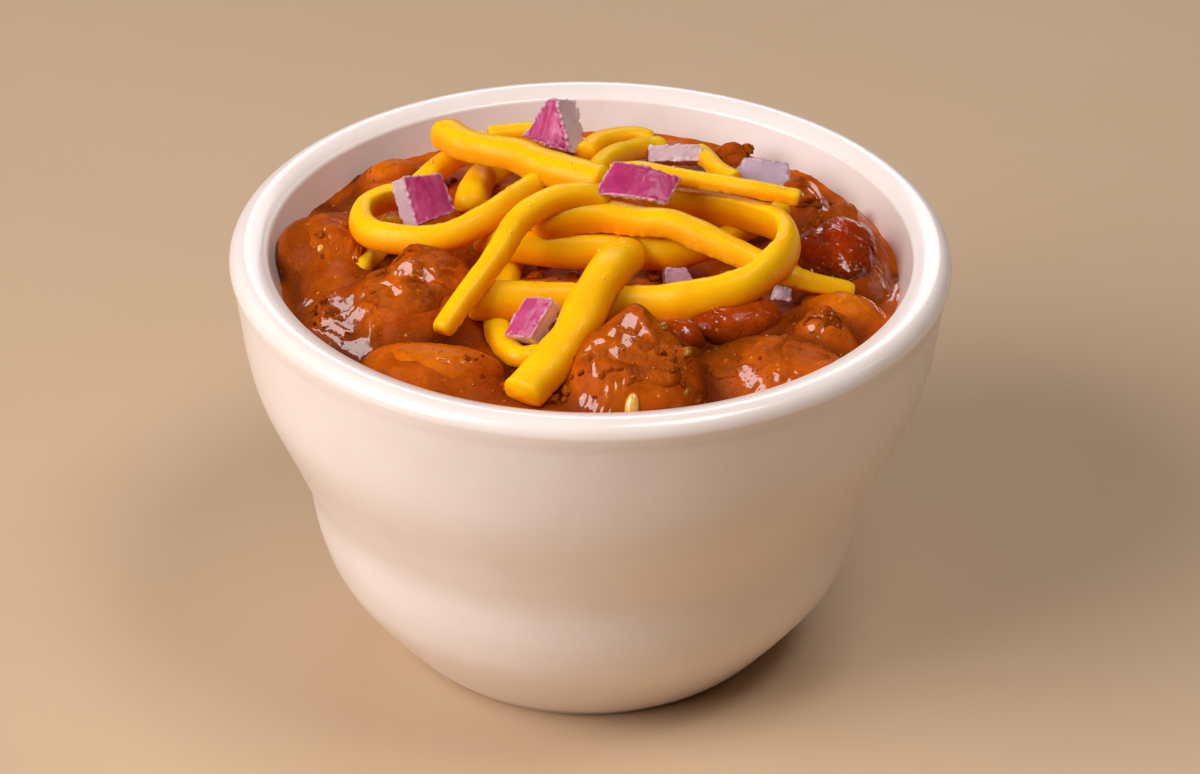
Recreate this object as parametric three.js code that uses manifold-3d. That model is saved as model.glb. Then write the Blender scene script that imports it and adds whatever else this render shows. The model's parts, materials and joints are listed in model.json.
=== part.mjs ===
// A bouillon cup filled with chili con carne, topped with cheese strands and diced red onion.
// Millimetres, +Z up. The origin is on the table, under the middle of the cup.
import * as THREE from "three";
import { mergeVertices } from "three/addons/utils/BufferGeometryUtils.js";
import Module from "manifold-3d";

const wasm = await Module();
wasm.setup();

// ---- Driving dimensions ----

// The cup: a thick wall with a soft waist, a rolled lip and a foot ring.
const RIM_RADIUS = 49;
const CUP_HEIGHT = 60.6;
const LIP_ROUND = 2.1; // radius of the lip's rounded outer edge
const LIP_TUCK = 0.5; // the wall just under the lip stands back by this much
const LIP_TUCK_DROP = 1.6; // and this far below it
const MOUTH_RADIUS = 43.6; // where the rim's flat land turns down into the cup
const MOUTH_EDGE = 0.4; // width of the small round on that edge
const LAND_DROP = 1; // the land slopes inwards by this much
const WAIST_RADIUS = 39.3; // the upper part flares out from here
const WAIST_HEIGHT = 25.4;
const SKIRT_RADIUS = 37.9; // and the lower part, from the foot up, turns nearly upright here
const SKIRT_HEIGHT = 18;
const FOOT_OUTER = 25.7;
const FOOT_INNER = 22.5;
const FOOT_SLOPE = 1.5; // how far the foot ring's inner side leans in
const FOOT_RECESS = 1.8;
const FLOOR_HEIGHT = 6.6; // the inside's floor above the table
const FLOOR_FLAT = 16; // radius of the nearly flat middle of that floor
const FLOOR_RISE = 0.3; // height gained across it
const CUP_SIDES = 32;
const LIP_STEPS = 4;

// The sauce.
const SAUCE_EDGE_HEIGHT = 55; // where the sauce meets the wall
const SAUCE_SIDES = 28;
const SAUCE_RINGS = [39, 34, 28, 22, 16, 9, 0];
const CALM_FROM = 33; // the heaps flatten out from this radius
const CALM_TO = 42; // and are gone at this one
const RIPPLE = 0.35; // height of the small unevenness between the heaps

// Where buried lumps heap the sauce up: x, y, rise and spread.
const MOUNDS = [
  [0, -2, 2.4, 24],
  [-3, 28, 3, 9],
  [-21, 17, 3, 8],
  [-13, 13, 2, 7],
  [18, 10, 2.4, 8],
  [18, 23, 2.6, 8],
  [5, 16, 2, 8],
];

// Pieces that touch keep this gap between their faces.
const GAP = 0.3;

// Heights closer than this are the same height.
const ROUNDING = 0.01;

// Where the wall of the cavity runs, from the floor up: radius, height.
const CAVITY_WALL = [
  [24, 9.4],
  [30.5, 17],
  [33.8, 26],
  [36.9, 35],
  [39.6, 44],
  [41.2, 50.5],
  [41.9, SAUCE_EDGE_HEIGHT],
];

// ---- Finishes ----

function finish(color, roughness) {
  return new THREE.MeshStandardMaterial({ color, roughness, metalness: 0 });
}

// ---- Solids ----

function solid(geometry) {
  const bare = geometry.clone();
  bare.deleteAttribute("normal");
  bare.deleteAttribute("uv");
  const merged = mergeVertices(bare, 1e-4);
  const mesh = new wasm.Mesh({
    numProp: 3,
    vertProperties: new Float32Array(merged.attributes.position.array),
    triVerts: new Uint32Array(merged.index.array),
  });
  return new wasm.Manifold(mesh);
}

function geometryOf(shape) {
  const cut = shape.getMesh();
  const geometry = new THREE.BufferGeometry();
  geometry.setAttribute("position", new THREE.BufferAttribute(cut.vertProperties, 3));
  geometry.setIndex(new THREE.BufferAttribute(cut.triVerts, 1));
  return geometry;
}

function boxesMeet(a, b) {
  const boxA = a.boundingBox();
  const boxB = b.boundingBox();
  return [0, 1, 2].every((i) => boxA.min[i] <= boxB.max[i] && boxB.min[i] <= boxA.max[i]);
}

const object = new THREE.Group();
const laid = []; // each laid piece with its room: the piece grown by the gap all round

// Adds a piece to the object, cut back from the room of every piece laid before it.
function lay(name, shape, room, material) {
  let cut = shape;
  for (const other of laid) {
    if (boxesMeet(cut, other)) cut = cut.subtract(other);
  }
  laid.push(room);
  const mesh = new THREE.Mesh(geometryOf(cut), material);
  mesh.name = name;
  object.add(mesh);
}

// Turns a profile of radius and height into a solid of revolution about Z.
function turned(profile, sides) {
  const points = profile.map(([radius, height]) => new THREE.Vector2(radius, height));
  return new THREE.LatheGeometry(points, sides).rotateX(Math.PI / 2);
}

function smooth(points, count) {
  const curve = new THREE.SplineCurve(points.map(([x, y]) => new THREE.Vector2(x, y)));
  return curve.getSpacedPoints(count).map((p) => [p.x, p.y]);
}

// ---- The cup ----

const outerWall = [
  [FOOT_OUTER, 0],
  [27.8, 1.8],
  [35.2, 11.4],
  [SKIRT_RADIUS, SKIRT_HEIGHT],
  [WAIST_RADIUS, WAIST_HEIGHT],
  [41.7, 31.6],
  [46.4, 43],
  [RIM_RADIUS - LIP_TUCK, CUP_HEIGHT - LIP_ROUND - LIP_TUCK_DROP],
];

function lipArc() {
  const points = [];
  for (let step = 0; step <= LIP_STEPS; step += 1) {
    const angle = (step / LIP_STEPS) * (Math.PI / 2);
    points.push([
      RIM_RADIUS - LIP_ROUND + LIP_ROUND * Math.cos(angle),
      CUP_HEIGHT - LIP_ROUND + LIP_ROUND * Math.sin(angle),
    ]);
  }
  return points;
}

function makeCup() {
  const inner = smooth(CAVITY_WALL, 6).reverse();
  const profile = [
    [0, FOOT_RECESS],
    [FOOT_INNER - FOOT_SLOPE, FOOT_RECESS],
    [FOOT_INNER, 0],
    ...smooth(outerWall, 12),
    ...lipArc(),
    [MOUTH_RADIUS + MOUTH_EDGE, CUP_HEIGHT - LAND_DROP],
    [MOUTH_RADIUS, CUP_HEIGHT - LAND_DROP - MOUTH_EDGE],
    ...inner,
    [FLOOR_FLAT, FLOOR_HEIGHT + FLOOR_RISE],
    [0, FLOOR_HEIGHT],
  ];
  const shape = solid(turned(profile, CUP_SIDES));
  lay("bowl", shape, shape, finish("#efe3d6", 0.25));
}

// ---- The sauce ----

function sauceHeight(x, y) {
  let heap = RIPPLE * Math.sin(x * 0.41 + 1.3) * Math.cos(y * 0.37 - 0.6);
  for (const [moundX, moundY, rise, spread] of MOUNDS) {
    const away = Math.hypot(x - moundX, y - moundY) / spread;
    heap += rise * Math.exp(-away * away);
  }
  const calm = THREE.MathUtils.smoothstep(Math.hypot(x, y), CALM_FROM, CALM_TO);
  return SAUCE_EDGE_HEIGHT + heap * (1 - calm);
}

function makeSauce() {
  const profile = [
    [0, FLOOR_HEIGHT + GAP],
    [FLOOR_FLAT, FLOOR_HEIGHT + FLOOR_RISE + GAP],
    ...smooth(CAVITY_WALL, 6).map(([radius, height]) => [radius - GAP, height + GAP]),
    ...SAUCE_RINGS.map((radius) => [radius, SAUCE_EDGE_HEIGHT]),
  ];
  const geometry = turned(profile, SAUCE_SIDES);
  const at = geometry.attributes.position;
  for (let i = 0; i < at.count; i += 1) {
    const onTop = at.getZ(i) > SAUCE_EDGE_HEIGHT - ROUNDING;
    if (onTop) at.setZ(i, sauceHeight(at.getX(i), at.getY(i)));
  }
  const shape = solid(geometry);
  lay("sauce", shape, shape, finish("#8a3a10", 0.3));
}

// ---- Meat, beans and tomato ----

// Uneven swelling of a lump in a direction from its middle: about -1 to 1, another for each seed.
function unevenness(direction, seed) {
  const { x, y, z } = direction;
  const broad = Math.sin(2.3 * x + seed) * Math.cos(2.1 * y - 1.7 * seed);
  const middling = Math.sin(3.9 * y + 2.3 * seed) * Math.cos(3.3 * z + seed);
  const fine = Math.sin(6.1 * z - seed) * Math.cos(5.7 * x + 1.9 * seed);
  return 0.5 * broad + 0.32 * middling + 0.18 * fine;
}

const LARGE_LUMP = 4; // lumps that reach further than this get the finer faces
const BEND_MIDDLE = 0.4; // share of the bend that the middle moves back by, so the lump stays put

// A closed lump. reach is its half size each way, turn its heading in degrees, bend its kidney curve.
function lumpSolid({ kind, at, reach, seed, turn = 0, bend = 0 }, growth) {
  const geometry = new THREE.IcosahedronGeometry(1, reach[0] > LARGE_LUMP ? 2 : 1);
  const points = geometry.attributes.position;
  const point = new THREE.Vector3();
  for (let i = 0; i < points.count; i += 1) {
    point.fromBufferAttribute(points, i).normalize();
    const swell = 1 + kind.rough * unevenness(point, seed);
    const side = point.x;
    point.set(
      point.x * (reach[0] * swell + growth),
      point.y * (reach[1] * swell + growth) + bend * (side * side - BEND_MIDDLE),
      point.z * (reach[2] * swell + growth),
    );
    points.setXYZ(i, point.x, point.y, point.z);
  }
  geometry.rotateZ(THREE.MathUtils.degToRad(turn));
  geometry.translate(...at);
  return solid(geometry);
}

const meat = { rough: 0.22, color: "#7a3814", roughness: 0.4 };
const bean = { rough: 0.05, color: "#8c3a12", roughness: 0.3 };
const tomato = { rough: 0.16, color: "#a32410", roughness: 0.25 };

const lumps = [
  { name: "meat_front", kind: meat, at: [5.6, -30.1, 57.6], reach: [7.9, 7.4, 6], seed: 1.1 },
  { name: "meat_left", kind: meat, at: [-22.8, -14, 58.2], reach: [8, 8, 5.8], seed: 2.6 },
  { name: "meat_far_left", kind: meat, at: [-34.9, 1.5, 56.7], reach: [5.3, 9.2, 5.4], seed: 3.9 },
  { name: "meat_low_left", kind: meat, at: [-32.8, -15.8, 56], reach: [5, 6.2, 4.2], seed: 5.2 },
  { name: "meat_right", kind: meat, at: [23.8, -27, 56.2], reach: [9.8, 6.6, 4.2], seed: 6.3 },
  { name: "meat_edge", kind: meat, at: [30.6, -19, 58], reach: [3, 3, 2.8], seed: 7.7 },
  { name: "meat_back", kind: meat, at: [29.2, 18.2, 57.4], reach: [2.6, 3, 2.4], seed: 8.8 },
  { name: "meat_shard", kind: meat, at: [19.4, 29.6, 57.6], reach: [2.4, 1.8, 2.2], seed: 9.4 },
  { name: "meat_far_right", kind: meat, at: [34.6, 13, 56.5], reach: [3, 3.2, 2.2], seed: 10.3 },
  {
    name: "bean_front", kind: bean, at: [-20.4, -29, 56.6], reach: [8.8, 4.7, 3.7],
    seed: 2, turn: -7, bend: 1.2,
  },
  {
    name: "bean_middle", kind: bean, at: [19.3, -18, 57.8], reach: [6.4, 4.3, 3.8],
    seed: 4, turn: 20, bend: -0.8,
  },
  {
    name: "bean_right", kind: bean, at: [33.4, -12, 56.4], reach: [5.6, 3.6, 2.8],
    seed: 6, turn: -14, bend: 0.8,
  },
  {
    name: "bean_back", kind: bean, at: [-28.2, 23.6, 56.8], reach: [4.2, 3, 2.7],
    seed: 8, turn: 30, bend: 0.6,
  },
  {
    name: "bean_low", kind: bean, at: [11.8, -23, 58.4], reach: [3.3, 2.5, 2.6],
    seed: 5, turn: -30, bend: 0.3,
  },
  { name: "tomato", kind: tomato, at: [33.6, 0.6, 58], reach: [6, 8, 4.2], seed: 3.4, turn: -8 },
];

function makeLumps() {
  for (const lump of lumps) {
    const { color, roughness } = lump.kind;
    lay(lump.name, lumpSolid(lump, 0), lumpSolid(lump, GAP), finish(color, roughness));
  }
}

// ---- Cheese strands ----

// A route whose section lies level, its X sideways and its Y up. From one end to the other the
// section rolls between two angles and swells between two girths.
class LaidRoute extends THREE.CatmullRomCurve3 {
  constructor(points, rolls, girths) {
    super(points.map((p) => new THREE.Vector3(...p)));
    this.rolls = rolls;
    this.girths = girths;
  }

  computeFrenetFrames(steps) {
    const frames = { tangents: [], normals: [], binormals: [] };
    const [first, last] = this.rolls.map(THREE.MathUtils.degToRad);
    for (let step = 0; step <= steps; step += 1) {
      const along = step / steps;
      const girth = THREE.MathUtils.lerp(...this.girths, along);
      const tangent = this.getTangentAt(along);
      const sideways = new THREE.Vector3(0, 0, 1).cross(tangent).normalize();
      sideways.applyAxisAngle(tangent, THREE.MathUtils.lerp(first, last, along));
      sideways.multiplyScalar(girth);
      frames.tangents.push(tangent);
      frames.normals.push(sideways);
      frames.binormals.push(tangent.clone().cross(sideways));
    }
    return frames;
  }
}

// The right half of a strand's cut face, from its flat underside round to its rounded top, as
// shares of the half width and of the thickness.
const SECTION_SIDE = [
  [0.8, 0],
  [1, 0.3],
  [0.8, 0.75],
  [0.3, 1],
];

function strandSection(width, thick) {
  const right = SECTION_SIDE.map(([out, up]) => [(out * width) / 2, (up - 0.5) * thick]);
  const left = right.map(([x, y]) => [-x, y]).reverse();
  return new THREE.Shape([...right, ...left].map(([x, y]) => new THREE.Vector2(x, y)));
}

const STRAND_STEP = 3.8; // millimetres of route to each step of the sweep
const FEWEST_STEPS = 4;

function strandSolid({ route, rolls = [0, 0], girths = [1, 1], width, thick }, growth) {
  const path = new LaidRoute(route, rolls, girths);
  const section = strandSection(width + 2 * growth, thick + 2 * growth);
  const steps = Math.max(FEWEST_STEPS, Math.round(path.getLength() / STRAND_STEP));
  return solid(new THREE.ExtrudeGeometry(section, { steps, extrudePath: path }));
}

// Each strand's route lists points along its middle. rolls and girths are those of its two ends.
const strands = [
  {
    name: "cheese_top",
    width: 5,
    thick: 3.8,
    route: [
      [-21.6, 21.4, 65.6], [-20.2, 19.8, 66.2], [-17.5, 17, 66], [-14, 14.5, 66.5],
      [-10, 12, 67], [-6.5, 9, 67], [-2.5, 6, 67.4], [2, 3.6, 67.3],
    ],
  },
  {
    name: "cheese_long_left",
    width: 3.8,
    thick: 3.2,
    route: [
      [3.6, -0.6, 67.2], [-0.6, -0.9, 68.3], [-5.3, -3.4, 68.6], [-9.6, -8.4, 68.1],
      [-12, -13.5, 66.5], [-14, -17, 65], [-16.5, -20.5, 63], [-19.5, -25, 60.5],
    ],
  },
  {
    name: "cheese_long_front",
    width: 5.4,
    thick: 3.7,
    route: [
      [5.8, -6, 63.6], [4.4, -9.5, 64.3], [2, -15, 64], [0, -20, 63], [-2, -25.5, 61.5],
      [-5, -30.5, 59.5], [-9, -36.6, 57.7],
    ],
  },
  {
    name: "cheese_arch",
    width: 4.8,
    thick: 3.8,
    rolls: [15, -30],
    girths: [1.1, 0.7],
    route: [
      [-7.5, -5.6, 65], [-5.5, -3.8, 65.2], [-2.5, -2, 65.5], [2, -1.5, 65.5], [6.5, -2.5, 65.5],
      [11, -4, 65.5], [15, -6, 64.5], [19, -8, 63.5], [27.5, -10, 60.5], [35, -9, 58],
    ],
  },
  {
    name: "cheese_back_bar",
    width: 2.6,
    thick: 2,
    route: [
      [2.5, 6.8, 67.4], [6.5, 6.3, 68], [12, 4.3, 68], [17.5, 2.8, 68], [23, 0.8, 68], [28, -0.2, 67.5],
    ],
  },
  {
    name: "cheese_loop",
    width: 5.2,
    thick: 2.6,
    rolls: [75, 80],
    route: [
      [-16, -17.5, 60.5], [-9.5, -17.5, 60.5], [-4, -16.5, 60], [1.5, -16, 59.5], [6.5, -17, 60],
      [12, -18, 61], [16.5, -18, 62], [20.5, -17, 63], [23.5, -14.5, 64], [26, -10.5, 64.5],
      [26.5, -5.5, 64.5], [25, -1, 64], [22, 2, 63.5], [17.5, 4, 63.5], [12, 6, 63], [7.5, 8, 62.5],
    ],
  },
  {
    name: "cheese_hairpin",
    width: 3.5,
    thick: 2,
    rolls: [75, 60],
    girths: [1.3, 1],
    route: [
      [-24.5, 8, 62.7], [-28, 7.5, 62.6], [-31, 5, 62.3], [-31.5, 0.5, 62.4], [-29.5, -4, 63],
      [-24, -6.5, 63.5], [-19.5, -6.5, 64], [-14.5, -3.5, 65], [-11, 1, 65.5], [-7, 6.8, 65.6],
    ],
  },
  {
    name: "cheese_under_arch",
    width: 4.6,
    thick: 2.2,
    rolls: [65, 65],
    route: [
      [-15.4, -2.2, 61.5], [-11.5, -4.5, 62], [-7.5, -5, 61.6], [-2.5, -5, 61.2], [5.5, -4.5, 61.2],
      [10.5, -5, 61.2], [14.5, -4, 61.7], [17, -3, 62],
    ],
  },
  {
    name: "cheese_left",
    width: 3.8,
    thick: 3,
    route: [
      [-15, 24.5, 62], [-20.5, 20, 61.5], [-25, 14, 59.6], [-27, 9, 58.6], [-28.8, 2, 58.4],
      [-30.2, -3, 58.9], [-31.4, -7, 58.6],
    ],
  },
  {
    name: "cheese_curl",
    width: 4,
    thick: 3.2,
    route: [[-12.5, 21.5, 61.5], [-14, 19.5, 61], [-15.5, 16.5, 61], [-16.5, 12.5, 60.5], [-17, 9, 60]],
  },
  {
    name: "cheese_hook",
    width: 3.4,
    thick: 2.6,
    route: [
      [-10.5, -1, 58.5], [-11.5, -8, 58], [-12.5, -14, 57.5], [-12, -19.5, 57.5],
      [-10.5, -23.5, 57], [-9, -25.5, 57], [-6, -24.5, 57],
    ],
  },
  {
    name: "cheese_inner",
    width: 3,
    thick: 2.6,
    route: [[26.5, 9, 61], [23.5, 6, 60.5], [20, 3.5, 60], [16.5, 1.5, 59.5]],
  },
  {
    name: "cheese_back",
    width: 3.4,
    thick: 2.8,
    route: [[-1, 24, 61], [1, 28, 60.7], [3.5, 30.3, 60.3], [6, 31.4, 60], [8.5, 31.2, 59.4]],
  },
  {
    name: "cheese_back_turn",
    width: 3.2,
    thick: 2.6,
    route: [[10, 28.3, 60.2], [7.5, 26.6, 60.8], [5, 23.6, 61.8], [2.5, 19.4, 63], [0.5, 14.4, 63.6]],
  },
  {
    name: "cheese_far",
    width: 3.2,
    thick: 2.6,
    route: [
      [-14.8, 33.5, 58.8], [-11.8, 34.3, 58.8], [-9.3, 34.6, 58.9], [-6.4, 33.4, 59], [-2.6, 30.4, 59.2],
    ],
  },
  {
    name: "cheese_scrap",
    width: 2.8,
    thick: 2,
    route: [[15, 27.5, 60], [16.5, 23.5, 60.5], [18, 19.5, 61], [20, 16.5, 61.5]],
  },
];

function makeStrands() {
  for (const strand of strands) {
    lay(strand.name, strandSolid(strand, 0), strandSolid(strand, GAP), finish("#f6a90d", 0.45));
  }
}

// ---- Diced onion ----

const CORNER_GROWTH = 1.4; // a corner moves out this much for each millimetre that its sides do

// A dice has a face with the given corners, thick deep behind it. lean tips the face back from
// upright and heading turns it, both in degrees.
function diceSolid({ at, corners, thick, lean, heading = 0 }, growth) {
  const middle = new THREE.Vector2();
  corners.forEach(([x, y]) => middle.add(new THREE.Vector2(x, y)));
  middle.divideScalar(corners.length);
  const outline = corners.map(([x, y]) => {
    const corner = new THREE.Vector2(x, y);
    const out = corner.clone().sub(middle).normalize();
    return corner.addScaledVector(out, CORNER_GROWTH * growth);
  });
  const depth = thick + 2 * growth;
  const geometry = new THREE.ExtrudeGeometry(new THREE.Shape(outline), { depth, bevelEnabled: false });
  geometry.translate(0, 0, growth - depth);
  geometry.rotateX(THREE.MathUtils.degToRad(90 - lean));
  geometry.rotateZ(THREE.MathUtils.degToRad(heading));
  geometry.translate(...at);
  return solid(geometry);
}

const dices = [
  {
    name: "onion_left",
    at: [-22, 0.5, 66.2],
    corners: [[-2.7, 3.7], [-2.8, -3.1], [3.4, -2.7], [3.1, 2.8]],
    thick: 4.2,
    lean: 35,
    heading: 32,
  },
  {
    name: "onion_peak",
    at: [-5.4, 26.3, 64.2],
    corners: [[-5.1, -3.2], [3.6, -2.9], [-0.1, 3.5], [-1.5, 3]],
    thick: 4.6,
    lean: 24,
    heading: -38,
  },
  {
    name: "onion_middle",
    at: [6.2, 0.6, 69.6],
    corners: [[-6, -1.9], [3.8, -3.8], [5.9, 0.6], [-3.1, 2.8]],
    thick: 0.9,
    lean: 58,
    heading: 2,
  },
  {
    name: "onion_front",
    at: [-7.4, -23.2, 62],
    corners: [[-2.9, -4.1], [1.3, -3], [1.6, 2.9], [-2.6, 1.8]],
    thick: 3,
    lean: 46,
    heading: -40,
  },
  {
    name: "onion_pale",
    at: [11.8, 24, 61.4],
    corners: [[-4, -1.2], [4, -1.4], [3.6, 1], [-3.8, 1.3]],
    thick: 3,
    lean: 40,
    heading: 6,
  },
  {
    name: "onion_clear",
    at: [23.6, 20.4, 60.2],
    corners: [[-4.4, -1], [1.2, -2.4], [4.4, -1.2], [3.6, 2], [-2.6, 2.2]],
    thick: 3,
    lean: 48,
    heading: -10,
  },
  {
    name: "onion_small",
    at: [11.8, -8, 59.4],
    corners: [[-2, -1.2], [2, -1], [1.2, 1.2], [-1.7, 1.3]],
    thick: 2,
    lean: 40,
    heading: 15,
  },
  {
    name: "onion_chip",
    at: [25.6, -10.6, 58.4],
    corners: [[-1.5, -1], [1.6, -0.9], [1.2, 1.1], [-1.2, 1]],
    thick: 1.6,
    lean: 35,
    heading: -20,
  },
  {
    name: "onion_sliver",
    at: [11.2, -20.6, 58.9],
    corners: [[-2.6, -0.5], [2.6, -0.6], [2.3, 0.7], [-2.2, 0.8]],
    thick: 1.6,
    lean: 40,
    heading: 4,
  },
];

function makeDices() {
  for (const dice of dices) {
    lay(dice.name, diceSolid(dice, 0), diceSolid(dice, GAP), finish("#b84a86", 0.35));
  }
}

// The lumps keep their whole form, then the topping from the top down. The sauce comes last and
// fills in round all of them.
makeCup();
makeLumps();
makeDices();
makeStrands();
makeSauce();

export default object;
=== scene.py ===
# %% [markdown]
# # Chili con carne in a bouillon cup
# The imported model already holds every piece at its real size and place: the stoneware cup, the
# chili that fills it, the lumps of beef, bean and tomato that stand out of it, and the cheese
# strands and onion dice on top. Here each of them is made again as a fine mesh with the surface
# that food has, and stands in for its plain solid. The pieces come in a cook's order, from the cup
# to the last crumbs of cheese.

# %% Load the frame
import itertools
import json
import math

import bmesh
import bpy
import numpy as np
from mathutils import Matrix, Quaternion, Vector
from mathutils.bvhtree import BVHTree

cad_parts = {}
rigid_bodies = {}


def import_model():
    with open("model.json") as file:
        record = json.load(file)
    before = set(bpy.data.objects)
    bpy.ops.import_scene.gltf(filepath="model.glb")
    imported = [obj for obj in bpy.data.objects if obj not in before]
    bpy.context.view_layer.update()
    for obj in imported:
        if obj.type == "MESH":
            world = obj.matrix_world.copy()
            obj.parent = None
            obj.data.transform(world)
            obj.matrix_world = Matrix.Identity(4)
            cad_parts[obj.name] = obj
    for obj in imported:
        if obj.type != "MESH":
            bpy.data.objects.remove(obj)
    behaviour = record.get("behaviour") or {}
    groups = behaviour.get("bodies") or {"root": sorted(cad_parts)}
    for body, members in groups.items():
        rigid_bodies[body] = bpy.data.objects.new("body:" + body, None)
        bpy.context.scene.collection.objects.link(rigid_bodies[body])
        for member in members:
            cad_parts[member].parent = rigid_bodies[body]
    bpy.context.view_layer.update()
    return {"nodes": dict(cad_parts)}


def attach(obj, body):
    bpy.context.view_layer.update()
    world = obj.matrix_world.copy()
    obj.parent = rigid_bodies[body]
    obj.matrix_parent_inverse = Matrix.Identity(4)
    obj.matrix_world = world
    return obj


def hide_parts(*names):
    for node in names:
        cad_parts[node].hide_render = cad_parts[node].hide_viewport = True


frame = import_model()
MM = 0.001  # sizes below are in millimetres, and Blender works in metres
print("CAD nodes:", len(frame["nodes"]))

# %% [markdown]
# ## The camera
# A cup of chili is looked at from a seat at the table, some thirty degrees above it. A long lens
# from half a metre away keeps the near rim from looking much larger than the far one. The camera
# is aimed at a point just above the waist of the cup, and rolled by less than a degree.

# %% Camera
CAMERA_LENS = 120
CAMERA_PLACE = Vector((0, -475.324, 322.699)) * MM
CAMERA_AIM = Vector((1.503, 3.414, 35.07)) * MM
CAMERA_ROLL = math.radians(0.8308)

camera = bpy.data.objects.new("camera", bpy.data.cameras.new("camera"))
camera.data.lens = CAMERA_LENS
camera.location = CAMERA_PLACE
camera.rotation_mode = "QUATERNION"
aimed = (CAMERA_AIM - CAMERA_PLACE).to_track_quat("-Z", "Y")
camera.rotation_quaternion = aimed @ Quaternion((0, 0, 1), CAMERA_ROLL)
bpy.context.scene.collection.objects.link(camera)
bpy.context.scene.camera = camera
print("camera to cup in mm:", round((CAMERA_AIM - CAMERA_PLACE).length / MM))

# %% [markdown]
# ## Light
# Wet food lives from its reflections, and a glazed cup from one bright side and one side in shade.
# Four soft boxes do that. A large one high on the left gives the cup its form and shows as pale
# patches in the wet sauce. One overhead fills in, one behind shines in the still pools, and a
# narrow one at the right draws a thin line along the rim. The world adds a little warm light so
# that the shade isn't black. The Standard view keeps the strong yellow of the cheese, which a
# filmic view would wash out.

# %% Lights
LOOK_AT = Vector((0, 0, 50)) * MM


def soft_box(name, direction, distance, size, power, color):
    light = bpy.data.lights.new(name, "AREA")
    light.shape = "RECTANGLE"
    light.size, light.size_y = size
    light.energy = power
    light.color = color
    holder = bpy.data.objects.new(name, light)
    holder.location = LOOK_AT + Vector(direction).normalized() * distance
    holder.rotation_mode = "QUATERNION"
    holder.rotation_quaternion = (LOOK_AT - holder.location).to_track_quat("-Z", "Y")
    bpy.context.scene.collection.objects.link(holder)


soft_box("left_box", (-0.72, -0.39, 0.58), 0.9, (0.6, 0.6), 9.2, (1, 0.975, 1))
soft_box("top_box", (0.32, -0.18, 0.92), 0.8, (0.3, 0.3), 2.7, (1, 0.97, 0.98))
soft_box("back_box", (0.05, 0.9, 0.48), 0.9, (0.4, 0.2), 1.1, (0.95, 0.93, 1))
soft_box("rim_box", (0.8, 0.2, 0.55), 0.8, (0.05, 0.16), 0.15, (1, 0.97, 0.9))

WORLD_COLOR = (1, 0.62, 0.38, 1)
WORLD_STRENGTH = 0.03
world = bpy.data.worlds.new("room")
world.use_nodes = True
world.node_tree.nodes["Background"].inputs["Color"].default_value = WORLD_COLOR
world.node_tree.nodes["Background"].inputs["Strength"].default_value = WORLD_STRENGTH
bpy.context.scene.world = world
bpy.context.scene.view_settings.view_transform = "Standard"

# %% [markdown]
# ## Building materials from nodes
# A material is a small tree of nodes. Three effects come back in nearly every material here: a
# colour that varies in patches, small specks, and a fine grain that catches the light. Each is a
# node group, built once, and every material places it with its own sizes and colours. Sizes are
# given in millimetres on the real food, so the group turns them into a scale.

# %% Node helpers
PER_METRE = 1 / MM


def node(tree, kind, **settings):
    made = tree.nodes.new(kind)
    for name, value in settings.items():
        setattr(made, name, value)
    return made


def feed(tree, socket, value):
    """Sets a socket to a plain value, or links it to another node's output."""
    if isinstance(value, bpy.types.NodeSocket):
        tree.links.new(value, socket)
    elif isinstance(value, str):
        socket.default_value = linear(value)
    else:
        socket.default_value = value


def linear(code):
    """The four numbers that Blender wants for a colour written as #rrggbb."""
    parts = [int(code[i : i + 2], 16) / 255 for i in (1, 3, 5)]
    return [p / 12.92 if p <= 0.04045 else ((p + 0.055) / 1.055) ** 2.4 for p in parts] + [1]


def math_node(tree, operation, *values):
    made = node(tree, "ShaderNodeMath", operation=operation)
    for socket, value in zip(made.inputs, values):
        feed(tree, socket, value)
    return made.outputs[0]


def mix_colors(tree, share, first, second):
    made = node(tree, "ShaderNodeMix", data_type="RGBA")
    feed(tree, made.inputs[0], share)
    feed(tree, made.inputs[6], first)
    feed(tree, made.inputs[7], second)
    return made.outputs[2]


def remap(tree, value, low, high, to_low=0.0, to_high=1.0):
    made = node(tree, "ShaderNodeMapRange", interpolation_type="SMOOTHSTEP")
    for name, number in (("Value", value), ("From Min", low), ("From Max", high)):
        feed(tree, made.inputs[name], number)
    feed(tree, made.inputs["To Min"], to_low)
    feed(tree, made.inputs["To Max"], to_high)
    return made.outputs[0]


def place_scaled(tree, size):
    """Object coordinates that count in units of size millimetres."""
    where = node(tree, "ShaderNodeTexCoord").outputs["Object"]
    scale = math_node(tree, "DIVIDE", PER_METRE, size)
    made = node(tree, "ShaderNodeVectorMath", operation="SCALE")
    feed(tree, made.inputs[0], where)
    feed(tree, made.inputs["Scale"], scale)
    return made.outputs[0]


def new_group(name, inputs, outputs):
    tree = bpy.data.node_groups.new(name, "ShaderNodeTree")
    for title, kind, value in inputs:
        socket = tree.interface.new_socket(title, in_out="INPUT", socket_type=kind)
        socket.default_value = value
    for title, kind in outputs:
        tree.interface.new_socket(title, in_out="OUTPUT", socket_type=kind)
    return tree, node(tree, "NodeGroupInput").outputs, node(tree, "NodeGroupOutput").inputs


def use_group(tree, group, **values):
    made = node(tree, "ShaderNodeGroup", node_tree=group)
    for title, value in values.items():
        feed(tree, made.inputs[title.replace("_", " ").capitalize()], value)
    return made.outputs


# %% Three shared effects
FLOAT, COLOR = "NodeSocketFloat", "NodeSocketColor"

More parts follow.
